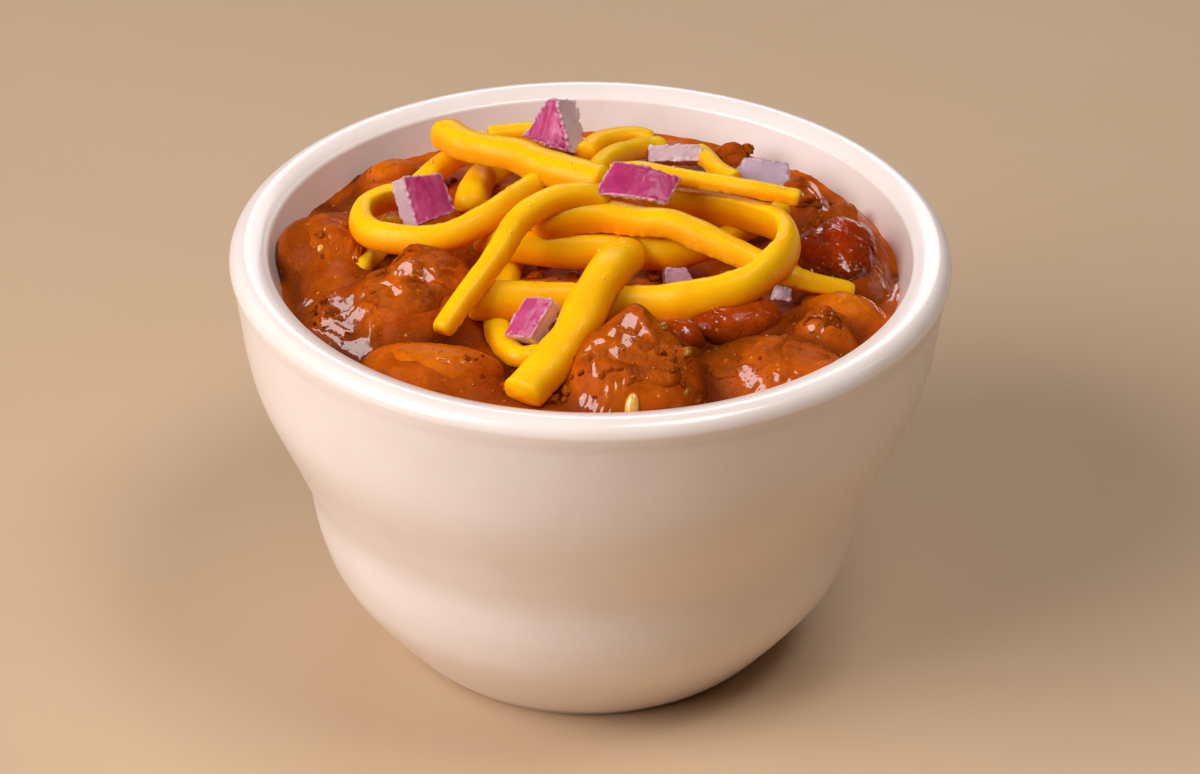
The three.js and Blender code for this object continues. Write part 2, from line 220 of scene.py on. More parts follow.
# Patches: a mask and a colour that drift between a dark and a light tone.
patches, given, put = new_group(
    "patches",
    [
        ("Size", FLOAT, 5.0),
        ("Spread", FLOAT, 0.2),
        ("Dark", COLOR, (0, 0, 0, 1)),
        ("Light", COLOR, (1, 1, 1, 1)),
    ],
    [("Color", COLOR), ("Mask", FLOAT)],
)
cloud = node(patches, "ShaderNodeTexNoise")
feed(patches, cloud.inputs["Vector"], place_scaled(patches, given["Size"]))
feed(patches, cloud.inputs["Scale"], 1.0)
feed(patches, cloud.inputs["Detail"], 5.0)
feed(patches, cloud.inputs["Roughness"], 0.6)
low = math_node(patches, "SUBTRACT", 0.5, given["Spread"])
high = math_node(patches, "ADD", 0.5, given["Spread"])
mask = remap(patches, cloud.outputs["Fac"], low, high)
feed(patches, put["Mask"], mask)
feed(patches, put["Color"], mix_colors(patches, mask, given["Dark"], given["Light"]))

# Specks: small spots in a share of the cells that fill the space.
specks, given, put = new_group(
    "specks",
    [("Spacing", FLOAT, 1.0), ("Spot", FLOAT, 0.2), ("Share", FLOAT, 0.3)],
    [("Mask", FLOAT)],
)
cells = node(specks, "ShaderNodeTexVoronoi")
feed(specks, cells.inputs["Vector"], place_scaled(specks, given["Spacing"]))
feed(specks, cells.inputs["Scale"], 1.0)
chance = node(specks, "ShaderNodeSeparateColor")
feed(specks, chance.inputs[0], cells.outputs["Color"])
chosen = math_node(specks, "LESS_THAN", chance.outputs[0], given["Share"])
spread = math_node(specks, "ADD", chance.outputs[1], 0.4)
spot = math_node(specks, "MULTIPLY", given["Spot"], spread)
near = remap(specks, cells.outputs["Distance"], 0.0, spot, 1.0, 0.0)
feed(specks, put["Mask"], math_node(specks, "MULTIPLY", near, chosen))

# Grain: a height for a Bump node, from two sizes of noise.
grain, given, put = new_group(
    "grain", [("Size", FLOAT, 0.5), ("Coarse", FLOAT, 0.5)], [("Height", FLOAT)]
)
fine = node(grain, "ShaderNodeTexNoise")
feed(grain, fine.inputs["Vector"], place_scaled(grain, given["Size"]))
feed(grain, fine.inputs["Scale"], 1.0)
feed(grain, fine.inputs["Detail"], 3.0)
broad = node(grain, "ShaderNodeTexNoise")
broad_size = math_node(grain, "MULTIPLY", given["Size"], 4.0)
feed(grain, broad.inputs["Vector"], place_scaled(grain, broad_size))
feed(grain, broad.inputs["Scale"], 1.0)
added = math_node(grain, "MULTIPLY_ADD", broad.outputs["Fac"], given["Coarse"], fine.outputs["Fac"])
feed(grain, put["Height"], added)
print("node groups:", [g.name for g in bpy.data.node_groups])


# %% A material's shader
def new_material(name, **sockets):
    """A material with one Principled shader, whose plain numbers are set on its own sockets."""
    material = bpy.data.materials.new(name)
    material.use_nodes = True
    shader = material.node_tree.nodes["Principled BSDF"]
    for title, value in sockets.items():
        feed(material.node_tree, shader.inputs[title.replace("_", " ")], value)
    return material, material.node_tree, shader.inputs


def add_bump(tree, shader, height, distance):
    """Raises the surface by height times distance, in millimetres."""
    bump = node(tree, "ShaderNodeBump")
    feed(tree, bump.inputs["Distance"], distance * MM)
    feed(tree, bump.inputs["Height"], height)
    feed(tree, shader["Normal"], bump.outputs[0])


def let_light_in(tree, shader, share, depth, colors):
    """Lets a share of the light wander under the surface: its depth is in mm, and its colors say
    how much of that red, green and blue get."""
    feed(tree, shader["Subsurface Weight"], share)
    feed(tree, shader["Subsurface Scale"], depth * MM)
    feed(tree, shader["Subsurface Radius"], colors)


def mesh_value(tree, name):
    """A number that a mesh carries for each of its points."""
    return node(tree, "ShaderNodeAttribute", attribute_name=name).outputs["Fac"]


# %% [markdown]
# ## Shaping helpers
# Nothing on a plate of food is a clean ball or tube, so every mesh below is pushed about by noise.
# Blender has displacement textures, but making the noise in numpy keeps each step in view, and
# gives the same shape on every run. Lattice noise puts a random number at each corner of a grid
# of cubes and blends between them. Several layers, each finer and weaker, look natural.

# %% Noise
CORNERS = list(itertools.product((0, 1), repeat=3))


def corner_values(cell, seed):
    """A number from -1 to 1 for each whole-number place, always the same one."""
    code = cell[:, 0] * 73856093 ^ cell[:, 1] * 19349663 ^ cell[:, 2] * 83492791 ^ seed * 9781
    code = (code ^ (code >> 13)) * 1274126177 & 0xFFFFFFFF
    code = (code ^ (code >> 16)) * 1911520717 & 0xFFFFFFFF
    return (code >> 8 & 0xFFFF) / 32767.5 - 1


def one_layer(points, seed):
    cell = np.floor(points).astype(np.int64)
    part = points - cell
    part = part * part * (3 - 2 * part)
    total = np.zeros(len(points))
    for corner in CORNERS:
        weight = np.prod(np.where(corner, part, 1 - part), axis=1)
        total += weight * corner_values(cell + corner, seed)
    return total


TURN_LAYER = np.array([[0.36, 0.48, -0.8], [-0.8, 0.6, 0.0], [0.48, 0.64, 0.6]])


def layered(points, size, layers=3, seed=0, ridged=False):
    """Noise with bumps of the given size in mm, about -1 to 1. Ridged noise has sharp crests."""
    total, strength, whole = np.zeros(len(points)), 1.0, 0.0
    at = points / size
    for layer in range(layers):
        value = one_layer(at, seed + 17 * layer)
        total += strength * (1 - 2 * np.abs(value) if ridged else value)
        whole += strength
        strength *= 0.5
        at = at @ TURN_LAYER.T * 2.03
    return total / whole * (1 if ridged else 1.6)


def smoothstep(value, low, high):
    share = np.clip((value - low) / (high - low), 0, 1)
    return share * share * (3 - 2 * share)


# %% Meshes
def make_piece(name, points, faces, material, node_names=(), values=None):
    """Makes a smooth-shaded piece from points in mm, which rides on the cup. It stands for its
    nodes, and each of its values is a number for every point that a material can read."""
    mesh = bpy.data.meshes.new(name)
    mesh.from_pydata((np.asarray(points) * MM).tolist(), [], faces)
    for title, numbers in (values or {}).items():
        layer = mesh.attributes.new(title, "FLOAT", "POINT")
        layer.data.foreach_set("value", np.asarray(numbers, np.float32))
    mesh.shade_smooth()
    mesh.materials.append(material)
    piece = bpy.data.objects.new(name, mesh)
    bpy.context.scene.collection.objects.link(piece)
    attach(piece, "root")
    if node_names:
        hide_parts(*node_names)
    print(f"{name}: {sum(len(f) - 2 for f in faces)} triangles")


def ring_faces(rings, around):
    """Quads between rings of points, each ring of the same number of points."""
    faces = []
    for ring in range(rings - 1):
        here, there = ring * around, (ring + 1) * around
        for i in range(around):
            j = (i + 1) % around
            faces.append((here + i, here + j, there + j, there + i))
    return faces


# %% [markdown]
# ## The floor
# A plain, pale surface to stand on. It is a single large sheet, and it isn't part of the object.

# %% Floor
FLOOR_HALF = 3.0  # metres

floor_paint, tree, shader = new_material("floor_paint", Roughness=0.7)
paint = use_group(tree, patches, size=60.0, spread=0.5, dark="#c9ab88", light="#cdb08f")
feed(tree, shader["Base Color"], paint["Color"])
floor_mesh = bpy.data.meshes.new("floor")
corners = [(x * FLOOR_HALF, y * FLOOR_HALF, 0) for x, y in ((-1, -1), (1, -1), (1, 1), (-1, 1))]
floor_mesh.from_pydata(corners, [], [(0, 1, 2, 3)])
floor_mesh.materials.append(floor_paint)
floor = bpy.data.objects.new("floor", floor_mesh)
bpy.context.scene.collection.objects.link(floor)
print("floor:", 2 * FLOOR_HALF, "m across")

# %% [markdown]
# ## The cup
# A bouillon cup is jiggered stoneware: a thick wall with a soft waist, a rolled lip with a flat
# land, and a foot ring wiped bare of glaze. It is round, so its profile is drawn once and turned
# about the middle. The glaze is a warm ivory that drifts a little in tone. It has tiny pinholes,
# and is smooth enough to mirror a soft box with slightly blurred edges.

# %% Glaze
glaze, tree, shader = new_material("ivory_glaze", Coat_Weight=0.35, Coat_Roughness=0.1, IOR=1.5)
let_light_in(tree, shader, share=0.06, depth=1.5, colors=(1.0, 0.7, 0.5))
tone = use_group(tree, patches, size=14.0, spread=0.35, dark="#f0e2d8", light="#f5eae2")
pinholes = use_group(tree, specks, spacing=2.2, spot=0.1, share=0.06)
bare = mesh_value(tree, "bare_clay")
hole = math_node(tree, "MULTIPLY", pinholes["Mask"], 0.35)
color = mix_colors(tree, hole, tone["Color"], "#a98c6c")
feed(tree, shader["Base Color"], mix_colors(tree, bare, color, "#dcc9b2"))
satin = remap(tree, tone["Mask"], 0.0, 1.0, 0.3, 0.38)
matt = math_node(tree, "MULTIPLY", bare, 0.75)
feed(tree, shader["Roughness"], math_node(tree, "MAXIMUM", satin, matt))
ripple = use_group(tree, grain, size=9.0, coarse=1.5)
add_bump(tree, shader, ripple["Height"], 0.03)
print("glaze nodes:", len(tree.nodes))


# %% Curves and arcs
CURVE_STEPS = 40  # points on each stretch of a curve before it is divided evenly


def hermite(start, end, leave, arrive, t):
    """Points on a cubic curve between two places, which leaves and arrives in given directions."""
    cubic, square = 2 * start - 2 * end + leave + arrive, 3 * end - 3 * start - 2 * leave - arrive
    return cubic * t**3 + square * t**2 + leave * t + start


def run_lengths(curve):
    """How far along the curve each of its points lies."""
    return np.r_[0, np.cumsum(np.linalg.norm(np.diff(curve, axis=0), axis=1))]


def at_lengths(curve, length, wanted):
    return np.stack([np.interp(wanted, length, side) for side in curve.T], axis=1)


def spline(points, count):
    """A smooth curve through the points, as count + 1 evenly spaced points."""
    points = np.array(points, float)
    padded = np.vstack([points[:1], points, points[-1:]])
    spans = np.linspace(0, len(points) - 1, CURVE_STEPS * len(points))
    start = np.minimum(spans.astype(int), len(points) - 2)
    p0, p1, p2, p3 = (padded[start + i] for i in range(4))
    curve = hermite(p1, p2, (p2 - p0) / 2, (p3 - p1) / 2, (spans - start)[:, None])
    length = run_lengths(curve)
    return at_lengths(curve, length, np.linspace(0, length[-1], count + 1))


def arc(centre, radius, first, last, count):
    """Points on an arc, with its angles in degrees."""
    turn = np.radians(np.linspace(first, last, count))
    return np.stack([centre[0] + radius * np.cos(turn), centre[1] + radius * np.sin(turn)], axis=1)


# %% Cup profile
RIM_RADIUS, CUP_HEIGHT, LIP_ROUND = 49.0, 60.6, 2.1
MOUTH_RADIUS, MOUTH_HEIGHT, MOUTH_ROUND = 43.6, 59.1, 0.75
FOOT_OUTER, FOOT_INNER, FOOT_RECESS = 25.7, 22.5, 1.8
AXIS_GAP = 0.01  # the profile stops this far from the middle, and a small face closes it
OUTER_WALL = [  # radius and height, from the foot up
    (27.8, 1.8), (35.2, 11.4), (37.9, 18), (39.3, 25.4), (41.7, 31.6), (46.4, 43), (48.5, 56.9),
]
CAVITY_WALL = [(24, 9.4), (30.5, 17), (33.8, 26), (36.9, 35), (39.6, 44), (41.2, 50.5), (41.9, 55)]
RIM_LAND = [(46.2, 60.56), (45.2, 60.3), (44.4, 59.95)]
CAVITY_FLOOR = [(20, 7.6), (16, 6.9), (8, 6.7), (AXIS_GAP, 6.6)]

profile = np.vstack(
    [
        [(AXIS_GAP, FOOT_RECESS), (12, FOOT_RECESS), (21, FOOT_RECESS), (22, 0.9)],
        arc((FOOT_INNER + 0.5, 0.5), 0.5, 180, 270, 4),
        [(24.2, 0)],
        arc((FOOT_OUTER + 0.1, 0.4), 0.4, 270, 390, 6),
        spline([(FOOT_OUTER + 0.35, 0.95)] + OUTER_WALL, 60),
        arc((RIM_RADIUS - LIP_ROUND, CUP_HEIGHT - LIP_ROUND), LIP_ROUND, 0, 90, 12),
        spline(RIM_LAND, 5),
        arc((MOUTH_RADIUS + MOUTH_ROUND, MOUTH_HEIGHT), MOUTH_ROUND, 100, 180, 6),
        spline(CAVITY_WALL, 24)[::-1],
        CAVITY_FLOOR,
    ]
)
print("cup profile:", len(profile), "points")

# %% Cup mesh
CUP_SIDES = 160


def turn_profile(profile, sides):
    """Points of a profile of radius and height, turned about the middle, ring after ring."""
    angle = np.linspace(0, 2 * np.pi, sides, endpoint=False)
    x = np.outer(profile[:, 0], np.cos(angle))
    y = np.outer(profile[:, 0], np.sin(angle))
    z = np.repeat(profile[:, 1][:, None], sides, axis=1)
    return np.stack([x, y, z], axis=2).reshape(-1, 3)


points = turn_profile(profile, CUP_SIDES)
faces = ring_faces(len(profile), CUP_SIDES)
faces += [tuple(range(CUP_SIDES))[::-1]]
faces += [tuple(range(len(points) - CUP_SIDES, len(points)))]
radius = np.hypot(points[:, 0], points[:, 1])
bare_clay = (1 - smoothstep(points[:, 2], 0.35, 0.75)) * (radius > FOOT_INNER - 0.2)
make_piece("cup", points, faces, glaze, ["bowl"], {"bare_clay": bare_clay})

# %% [markdown]
# ## Wet food
# The sauce, the beef and the beans all wear the same coat of sauce, so one function makes their
# materials. Sauce lets light in a little way, which a subsurface share gives. Its wet film is the
# shader's coat, a nearly sharp reflection over a softer body, and lies only in places, since the
# rest has dried to a satin skin. The body's colour drifts between a dark and a light brown, and is
# painted a deep brown as shade in the hollows, in dips, beside lumps and on their sides, which each
# mesh carries as a number. It turns orange where the sauce thins out against the wall, and has red
# and pale specks of ground spice. Size is that of the patches in mm, dry is the share of coat
# outside the films, and glow is the subsurface share.

# %% Sauced materials
FILM_FROM, FILM_TO = 1.05, 1.2  # wetness, with the ragged part added, at which a film sets in
FILM_RAGGED = 0.7


def sauced(name, dark, light, deep_tone_and_shade, size=5.0, rough=0.45, dry=0.0, glow=0.14, pale_share=0.2):
    material, tree, shader = new_material(
        name, Roughness=rough, Coat_Roughness=0.06, IOR=1.4, Specular_IOR_Level=0.06
    )
    let_light_in(tree, shader, share=glow, depth=1.2, colors=(1.0, 0.28, 0.08))
    body = use_group(tree, patches, size=size, spread=0.22, dark=dark, light=light)
    # painted shade: the colour turns to the deep tone where the mesh's shade value is high, in
    # hollows, dips and on the sides of lumps
    color = mix_colors(tree, mesh_value(tree, "hollow"), body["Color"], deep_tone_and_shade)
    mottle = use_group(tree, patches, size=1.3, spread=0.2)
    dust = use_group(tree, patches, size=0.32, spread=0.25)
    red = use_group(tree, specks, spacing=0.7, spot=0.3, share=0.3)
    pale = use_group(tree, specks, spacing=1.1, spot=0.24, share=pale_share)
    covers = [
        (mottle, 0.35, deep_tone_and_shade),
        (dust, 0.13, "#e88a18"),
        (red, 0.55, "#5e1203"),
        (pale, 0.7, "#f0a040"),
    ]
    for cover, strength, tint in covers:
        share = math_node(tree, "MULTIPLY", cover["Mask"], strength)
        color = mix_colors(tree, share, color, tint)
    feed(tree, shader["Base Color"], mix_colors(tree, mesh_value(tree, "thin"), color, "#d86406"))
    ragged = use_group(tree, patches, size=0.7, spread=0.35)
    film = math_node(tree, "MULTIPLY_ADD", ragged["Mask"], FILM_RAGGED, mesh_value(tree, "wet"))
    feed(tree, shader["Coat Weight"], remap(tree, film, FILM_FROM, FILM_TO, dry, 1.0))
    feel = use_group(tree, grain, size=0.5, coarse=1.2)
    add_bump(tree, shader, feel["Height"], 0.035)
    return material


sauce_look = sauced("chili_sauce", "#9e3602", "#c65b07", "#641d02")
beef_look = sauced("sauced_beef", "#943502", "#bc5306", "#581c02", size=4.0)
bean_look = sauced(
    "sauced_bean", "#c85204", "#e47a0a", "#862802", size=7.0, rough=0.36, glow=0.28
)
dark_bean_look = sauced(
    "dark_bean", "#982402", "#c44604", "#5c1001", size=7.0, rough=0.32, dry=0.12, glow=0.3
)
tomato_look = sauced(
    "cooked_tomato", "#a21402", "#c43806", "#5a0a02", rough=0.3, dry=0.3, glow=0.4, pale_share=0.0
)
print("materials so far:", [material.name for material in bpy.data.materials])

# %% [markdown]
# ## Films and sparkles
# Sauce that has run over a lump lies on it as a smooth skin, and such a skin is what mirrors a
# lamp. Bump can't make one, since a coat takes its shine from the mesh below it. So under each
# film the mesh is laid flat in a few small facets, and the number "wet" tells the material to
# coat them. Where the film runs over small bumps it breaks up into sparkles. Both are placed in
# plan, so that a film crosses from a lump to the sauce without a step.

# %% Places of the films
WET_SLOPE = np.array([-0.4, -0.7, 0.59])  # the way they face: front left, and a good half upwards
FILMS = [  # reach, then the places x, y that one film joins, all in mm
    (2.4, [(-33, -17), (-32.4, -20), (-33.8, -21.8), (-30.6, -23.4)]),
    (1.7, [(-25.4, -12.6), (-24, -14.6), (-21.6, -15.6)]),
    (1.1, [(-26.8, -16.8), (-25.6, -18.8)]),
    (0.35, [(-35, 1.4), (-33.4, 1), (-31.8, -2.4), (-31.6, -4.6)]),
    (0.4, [(-36, -1.6), (-35.2, -3)]),
    (0.5, [(-31.8, -5.2), (-31.4, -5.8)]),
    (0.8, [(-38.6, -12.4), (-36.8, -14)]),
    (1.1, [(3.2, -30.2), (4.4, -29), (6, -29.4)]),
    (1.1, [(6.6, -30.2), (4.8, -31.4), (3.2, -33.2)]),
    (0.9, [(-0.2, -31.8), (1.4, -31.4)]),
    (0.35, [(0.2, -33.6), (0.8, -35.6)]),
    (0.55, [(2.4, -36.8), (4.2, -36.6)]),
    (0.5, [(-0.8, -36.6), (0.8, -37.8), (3.4, -39.2)]),
    (0.7, [(19.8, -31.2), (20.8, -32), (22, -33)]),
    (0.5, [(23.6, -32), (24.8, -32.4)]),
    (0.4, [(25.6, -31.4), (25.8, -32.4)]),
    (0.5, [(28.8, -20.6), (30.2, -21)]),
    (0.4, [(31.6, -19.6), (32.8, -19.8)]),
    (0.4, [(-19.6, -31.4), (-18.4, -31.6)]),
    (0.3, [(-16.4, -31.4), (-16, -31.6)]),
    (0.8, [(35.6, -10.8), (38.4, -13)]),
    (0.9, [(39.2, -1.2), (39.6, -3.8)]),
    (1.4, [(30.6, 17.2), (33, 16)]),
    (0.9, [(34.6, 17.8), (35.8, 15)]),
    (1, [(-11.2, -27.8), (-9, -28.2)]),
    (0.35, [(30.4, 5), (33.2, 4), (34.8, 0), (37.8, -0.4), (38.8, -3)]),
]
SPARKLES = [  # x, y and reach in mm of places where the film runs over small bumps
    (22.4, -18.4, 1.7),
    (16.6, -20.6, 1.6),
    (33.4, -2.4, 1.9),
    (37, -2.4, 1.2),
    (12.8, -31.4, 1.1),
    (12.8, -34.8, 1.1),
    (11, -37.6, 1),
    (12, -24.6, 1),
    (30, -20.8, 1.4),
    (-32.6, -0.6, 1.6),
    (-3.2, -34.2, 1.5),
    (-18.6, -31.6, 0.7),
    (-28.6, -27, 0.8),
    (29, 15.8, 1.4),
]
print("films:", len(FILMS), "and sparkles:", len(SPARKLES))

# %% Laying the films
FILM_FLOOR = 55.2  # below this height in mm nothing is seen, so nothing is changed
FAR_OFF, FILM_MARGIN = 2.5, 0.5  # nothing changes beyond so many reaches and a margin in mm
FACET_GAP = 1.8  # from the middle of one facet to the next, in reaches
FACET_WANDER = 0.3  # how unevenly two facets meet, in reaches
FILM_FADE = 1.15  # where a film ends, in reaches
FILM_RELIEF, SPARKLE_RELIEF = 0.015, 0.13  # mm
SPARKLE_WET = 1.25


def distance_to_line(points, line):
    """Shortest distance in plan from each point to a line through the given corners."""
    nearest = np.full(len(points), np.inf)
    for a, b in itertools.pairwise(np.array(line, float)):
        share = np.clip((points - a) @ (b - a) / ((b - a) @ (b - a)), 0, 1)
        nearest = np.minimum(nearest, np.linalg.norm(points - a - share[:, None] * (b - a), axis=1))
    return nearest


def facet_middles(line, gap):
    """Places along the line, about one gap apart."""
    middles = []
    for a, b in itertools.pairwise(np.array(line, float)):
        steps = max(1, round(np.linalg.norm(b - a) / gap))
        middles += [a + (b - a) * k / steps for k in range(steps)]
    return np.array(middles + [line[-1]])


def settle_wet_places(points):
    """Lays small facets under each film and bumps under each sparkle, and returns the wetness."""
    wet = np.zeros(len(points))
    seen = points[:, 2] > FILM_FLOOR
    for reach, line in FILMS:
        away = distance_to_line(points[:, :2], line)
        close = np.nonzero(seen & (away < FAR_OFF * reach + FILM_MARGIN))[0]
        if not len(close):
            continue
        spot = points[close]
        middles = facet_middles(line, FACET_GAP * reach)
        apart = np.linalg.norm(spot[:, None, :2] - middles, axis=2)
        wander = FACET_WANDER * reach * layered(spot, 0.9, 2, 34)
        own = (apart + wander[:, None] * np.arange(len(middles))).argmin(axis=1)
        heights = spot @ WET_SLOPE
        level = [
            heights[own == k].mean() if (own == k).any() else 0 for k in range(len(middles))
        ]
        ragged = away[close] / reach * (1 + 0.5 * layered(spot, 0.7 + 0.4 * reach, 3, 31))
        near = np.exp(-((ragged / FILM_FADE) ** 4))
        points[close] -= WET_SLOPE * ((heights - np.array(level)[own]) * near)[:, None]
        wet[close] = np.maximum(wet[close], near)
    points += FILM_RELIEF * (wet * layered(points, 1.4, 2, 32))[:, None] * WET_SLOPE
    for x, y, reach in SPARKLES:
        away = np.linalg.norm(points[:, :2] - (x, y), axis=1) / reach
        close = np.nonzero(seen & (away < FAR_OFF))[0]
        near = np.exp(-(away[close] ** 2)) * (1 - wet[close])
        bumps = SPARKLE_RELIEF * near * layered(points[close], 0.7, 2, 33)
        points[close] -= bumps[:, None] * WET_SLOPE
        wet[close] = np.maximum(wet[close], SPARKLE_WET * near)
    return wet


# %% [markdown]
# ## Beef, beans and tomato
# Each lump starts as a ball of small triangles. It is stretched to its size, swollen unevenly,
# bent if it is a bean, and then given the small relief of its kind: torn edges and fibres on the
# beef, a nearly smooth skin on the beans, folds on the tomato. Boiled beef in a thick sauce is
# rounded where the sauce covers it and craggy where a corner stands out, so a slow noise decides
# where the crags are. A few peaks, each a direction with a height and a width, make the corners
# and dents that give a lump its own outline.


# %% Lump shapes
def ball(detail):
    """Points and faces of a sphere of radius 1, made of near-equal triangles."""
    form = bmesh.new()
    bmesh.ops.create_icosphere(form, subdivisions=detail, radius=1)
    points = np.array([v.co for v in form.verts])
    faces = [tuple(v.index for v in f.verts) for f in form.faces]
    form.free()
    return points, faces


def unevenness(direction, seed):
    """The same uneven swelling that the solids have, about -1 to 1."""
    x, y, z = direction.T
    broad = np.sin(2.3 * x + seed) * np.cos(2.1 * y - 1.7 * seed)
    middling = np.sin(3.9 * y + 2.3 * seed) * np.cos(3.3 * z + seed)
    fine = np.sin(6.1 * z - seed) * np.cos(5.7 * x + 1.9 * seed)
    return 0.5 * broad + 0.32 * middling + 0.18 * fine


def lump_points(direction, kind, at, reach, seed, turn=0, bend=0, peaks=()):
    """Points of one lump and its mesh values: how much painted shade each point gets in dents and
    on the sides, and how wet it is.
    """
    swell = 1 + kind["swell"] * unevenness(direction, seed)
    points = direction * np.array(reach) * swell[:, None]
    points[:, 1] += bend * (direction[:, 0] ** 2 - 0.4)
    number = int(seed * 10)
    crag_share = smoothstep(layered(points, 6.0, 2, number), -0.1, 0.5)
    relief = kind["soft"] * layered(points, 4.5, 2, number + 1)
    relief += kind["crags"] * crag_share * layered(points, 2.4, 3, number + 2, ridged=True)
    relief += kind["grain"] * layered(points, 0.8, 2, number + 3)
    for toward, height, width in peaks:
        toward = np.array(toward) / np.linalg.norm(toward)
        away = np.linalg.norm(direction - toward, axis=1) / width
        relief += height * np.exp(-away * away)
    points += direction * relief[:, None]
    cos, sin = math.cos(math.radians(turn)), math.sin(math.radians(turn))
    about_z = np.array([[cos, -sin, 0], [sin, cos, 0], [0, 0, 1]])
    points = points @ about_z.T + np.array(at)
    wet = np.maximum(settle_wet_places(points), kind["wet"])
    # painted shade: the sides of a lump get a darker colour than its top
    side_shade = 1 - smoothstep(direction[:, 2], 0.1, 0.75)  # the sides are darker than the top
    # painted shade: dents and the sides of the lump are darkened and peaks lightened, through the
    # mesh value for shade
    return points, {"hollow": np.clip(0.2 - 1.2 * relief + 0.45 * side_shade, 0, 1), "wet": wet}


# %% Kinds of lump
BEEF = dict(swell=0.22, soft=0.5, crags=0.45, grain=0.08, wet=0.42, look=beef_look, slot="meat")
BEAN = dict(swell=0.05, soft=0.14, crags=0.0, grain=0.05, wet=0.2, look=bean_look, slot="bean")
SAUCY_BEEF = {**BEEF, "crags": 0.3, "grain": 0.04}
DARK_BEAN = {**BEAN, "wet": 0.6, "look": dark_bean_look}
TOMATO = dict(swell=0.16, soft=0.5, crags=0.7, grain=0.08, wet=0.8, look=tomato_look, slot="tomato")
print("slots of the lumps:", sorted({kind["slot"] for kind in (BEEF, BEAN, TOMATO)}))

# %% Lump list
LUMPS = {  # at and reach in mm, turn in degrees, bend in mm; the seed picks the swelling
    "meat_front": dict(kind=BEEF, at=(5.6, -30.1, 57.6), reach=(7.9, 7.4, 6), seed=1.1),
    "meat_left": dict(kind=BEEF, at=(-22.8, -14, 58.2), reach=(8, 8, 5.8), seed=2.6),
    "meat_far_left": dict(kind=SAUCY_BEEF, at=(-34.9, 1.5, 56.7), reach=(5.3, 9.2, 5.4), seed=3.9),
    "meat_low_left": dict(kind=SAUCY_BEEF, at=(-32.8, -15.8, 56), reach=(5, 6.2, 4.2), seed=5.2),
    "meat_right": dict(kind=BEEF, at=(23.8, -27, 56.2), reach=(9.8, 6.6, 4.2), seed=6.3),
    "meat_edge": dict(kind=BEEF, at=(30.6, -19, 58), reach=(3, 3, 2.8), seed=7.7),
    "meat_back": dict(kind=BEEF, at=(29.2, 18.2, 57.4), reach=(2.6, 3, 2.4), seed=8.8),
    "meat_shard": dict(kind=BEEF, at=(19.4, 29.6, 57.6), reach=(2.4, 1.8, 2.2), seed=9.4),
    "meat_far_right": dict(kind=BEEF, at=(34.6, 13, 56.5), reach=(3, 3.2, 2.2), seed=10.3),
    "bean_front": dict(
        kind=BEAN, at=(-20.4, -29, 56.6), reach=(8.8, 4.7, 3.7), seed=2, turn=-7, bend=1.2
    ),
    "bean_middle": dict(
        kind=DARK_BEAN, at=(19.3, -18, 57.8), reach=(6.4, 4.3, 3.8), seed=4, turn=20, bend=-0.8
    ),
    "bean_right": dict(
        kind=BEAN, at=(33.4, -12, 56.4), reach=(5.6, 3.6, 2.8), seed=6, turn=-14, bend=0.8
    ),
    "bean_back": dict(
        kind=BEAN, at=(-28.2, 23.6, 56.8), reach=(4.2, 3, 2.7), seed=8, turn=30, bend=0.6
    ),
    "bean_low": dict(
        kind=DARK_BEAN, at=(11.8, -23, 58.4), reach=(3.3, 2.5, 2.6), seed=5, turn=-30, bend=0.3
    ),
    "tomato": dict(kind=TOMATO, at=(33.6, 0.6, 58), reach=(6, 8, 4.2), seed=3.4, turn=-8),
}
print("lumps:", len(LUMPS))

# %% Peaks of the lumps
LUMPS["meat_front"]["peaks"] = [  # direction, height in mm, and width on a ball of radius 1
    ((0, 0.35, 0.9), 1.6, 0.24),
    ((0.6, 0.45, 0.6), -1.7, 0.35),
    ((0.75, -0.15, 0.5), 1.3, 0.2),
    ((0.95, -0.1, -0.05), -1.6, 0.45),
    ((-0.7, -0.3, 0.65), 0.8, 0.22),
    ((0.6, -0.75, 0.3), 0.8, 0.3),
    ((0.1, -0.5, 0.85), -0.6, 0.3),
]
LUMPS["meat_left"]["peaks"] = [((-0.15, 0.5, 0.85), 1.3, 0.28), ((-0.35, 0.1, 0.9), 0.6, 0.2)]
LUMPS["meat_far_left"]["peaks"] = [((0.6, -0.5, 0.6), 0.9, 0.25), ((0.1, -0.3, 0.95), 0.6, 0.2)]
LUMPS["meat_right"]["peaks"] = [
    ((-0.1, -0.4, 0.9), 0.8, 0.25),
    ((0.6, -0.3, 0.7), 0.7, 0.2),
    ((-0.45, 0.75, 0.5), -2, 0.5),
]

# %% Lump meshes
FINE_BALL, SMALL_BALL = ball(6), ball(5)
LARGE_LUMP = 4  # lumps that reach further than this in mm get the finer ball

lump_tops = []  # points and faces of all lumps, for the sauce to settle round
for name, lump in LUMPS.items():
    direction, faces = FINE_BALL if lump["reach"][0] > LARGE_LUMP else SMALL_BALL
    points, values = lump_points(direction, **lump)
    kind = lump["kind"]
    make_piece(name + "_lump", points, faces, kind["look"], [name], values)
    lump_tops.append((points, faces))

# %% [markdown]
# ## The sauce
# A thick sauce lies in heaps over what is buried in it, climbs a little way up every lump and up
# the wall, and fills the cracks. A height map does all of it: the heaps and the tops of the lumps
# make one rough landscape, and softening that landscape fills its corners the way a thick liquid
# does. Where the soft surface is lower than a lump, the lump shows; where it is higher, the sauce
# does. So the two meet without an edge.

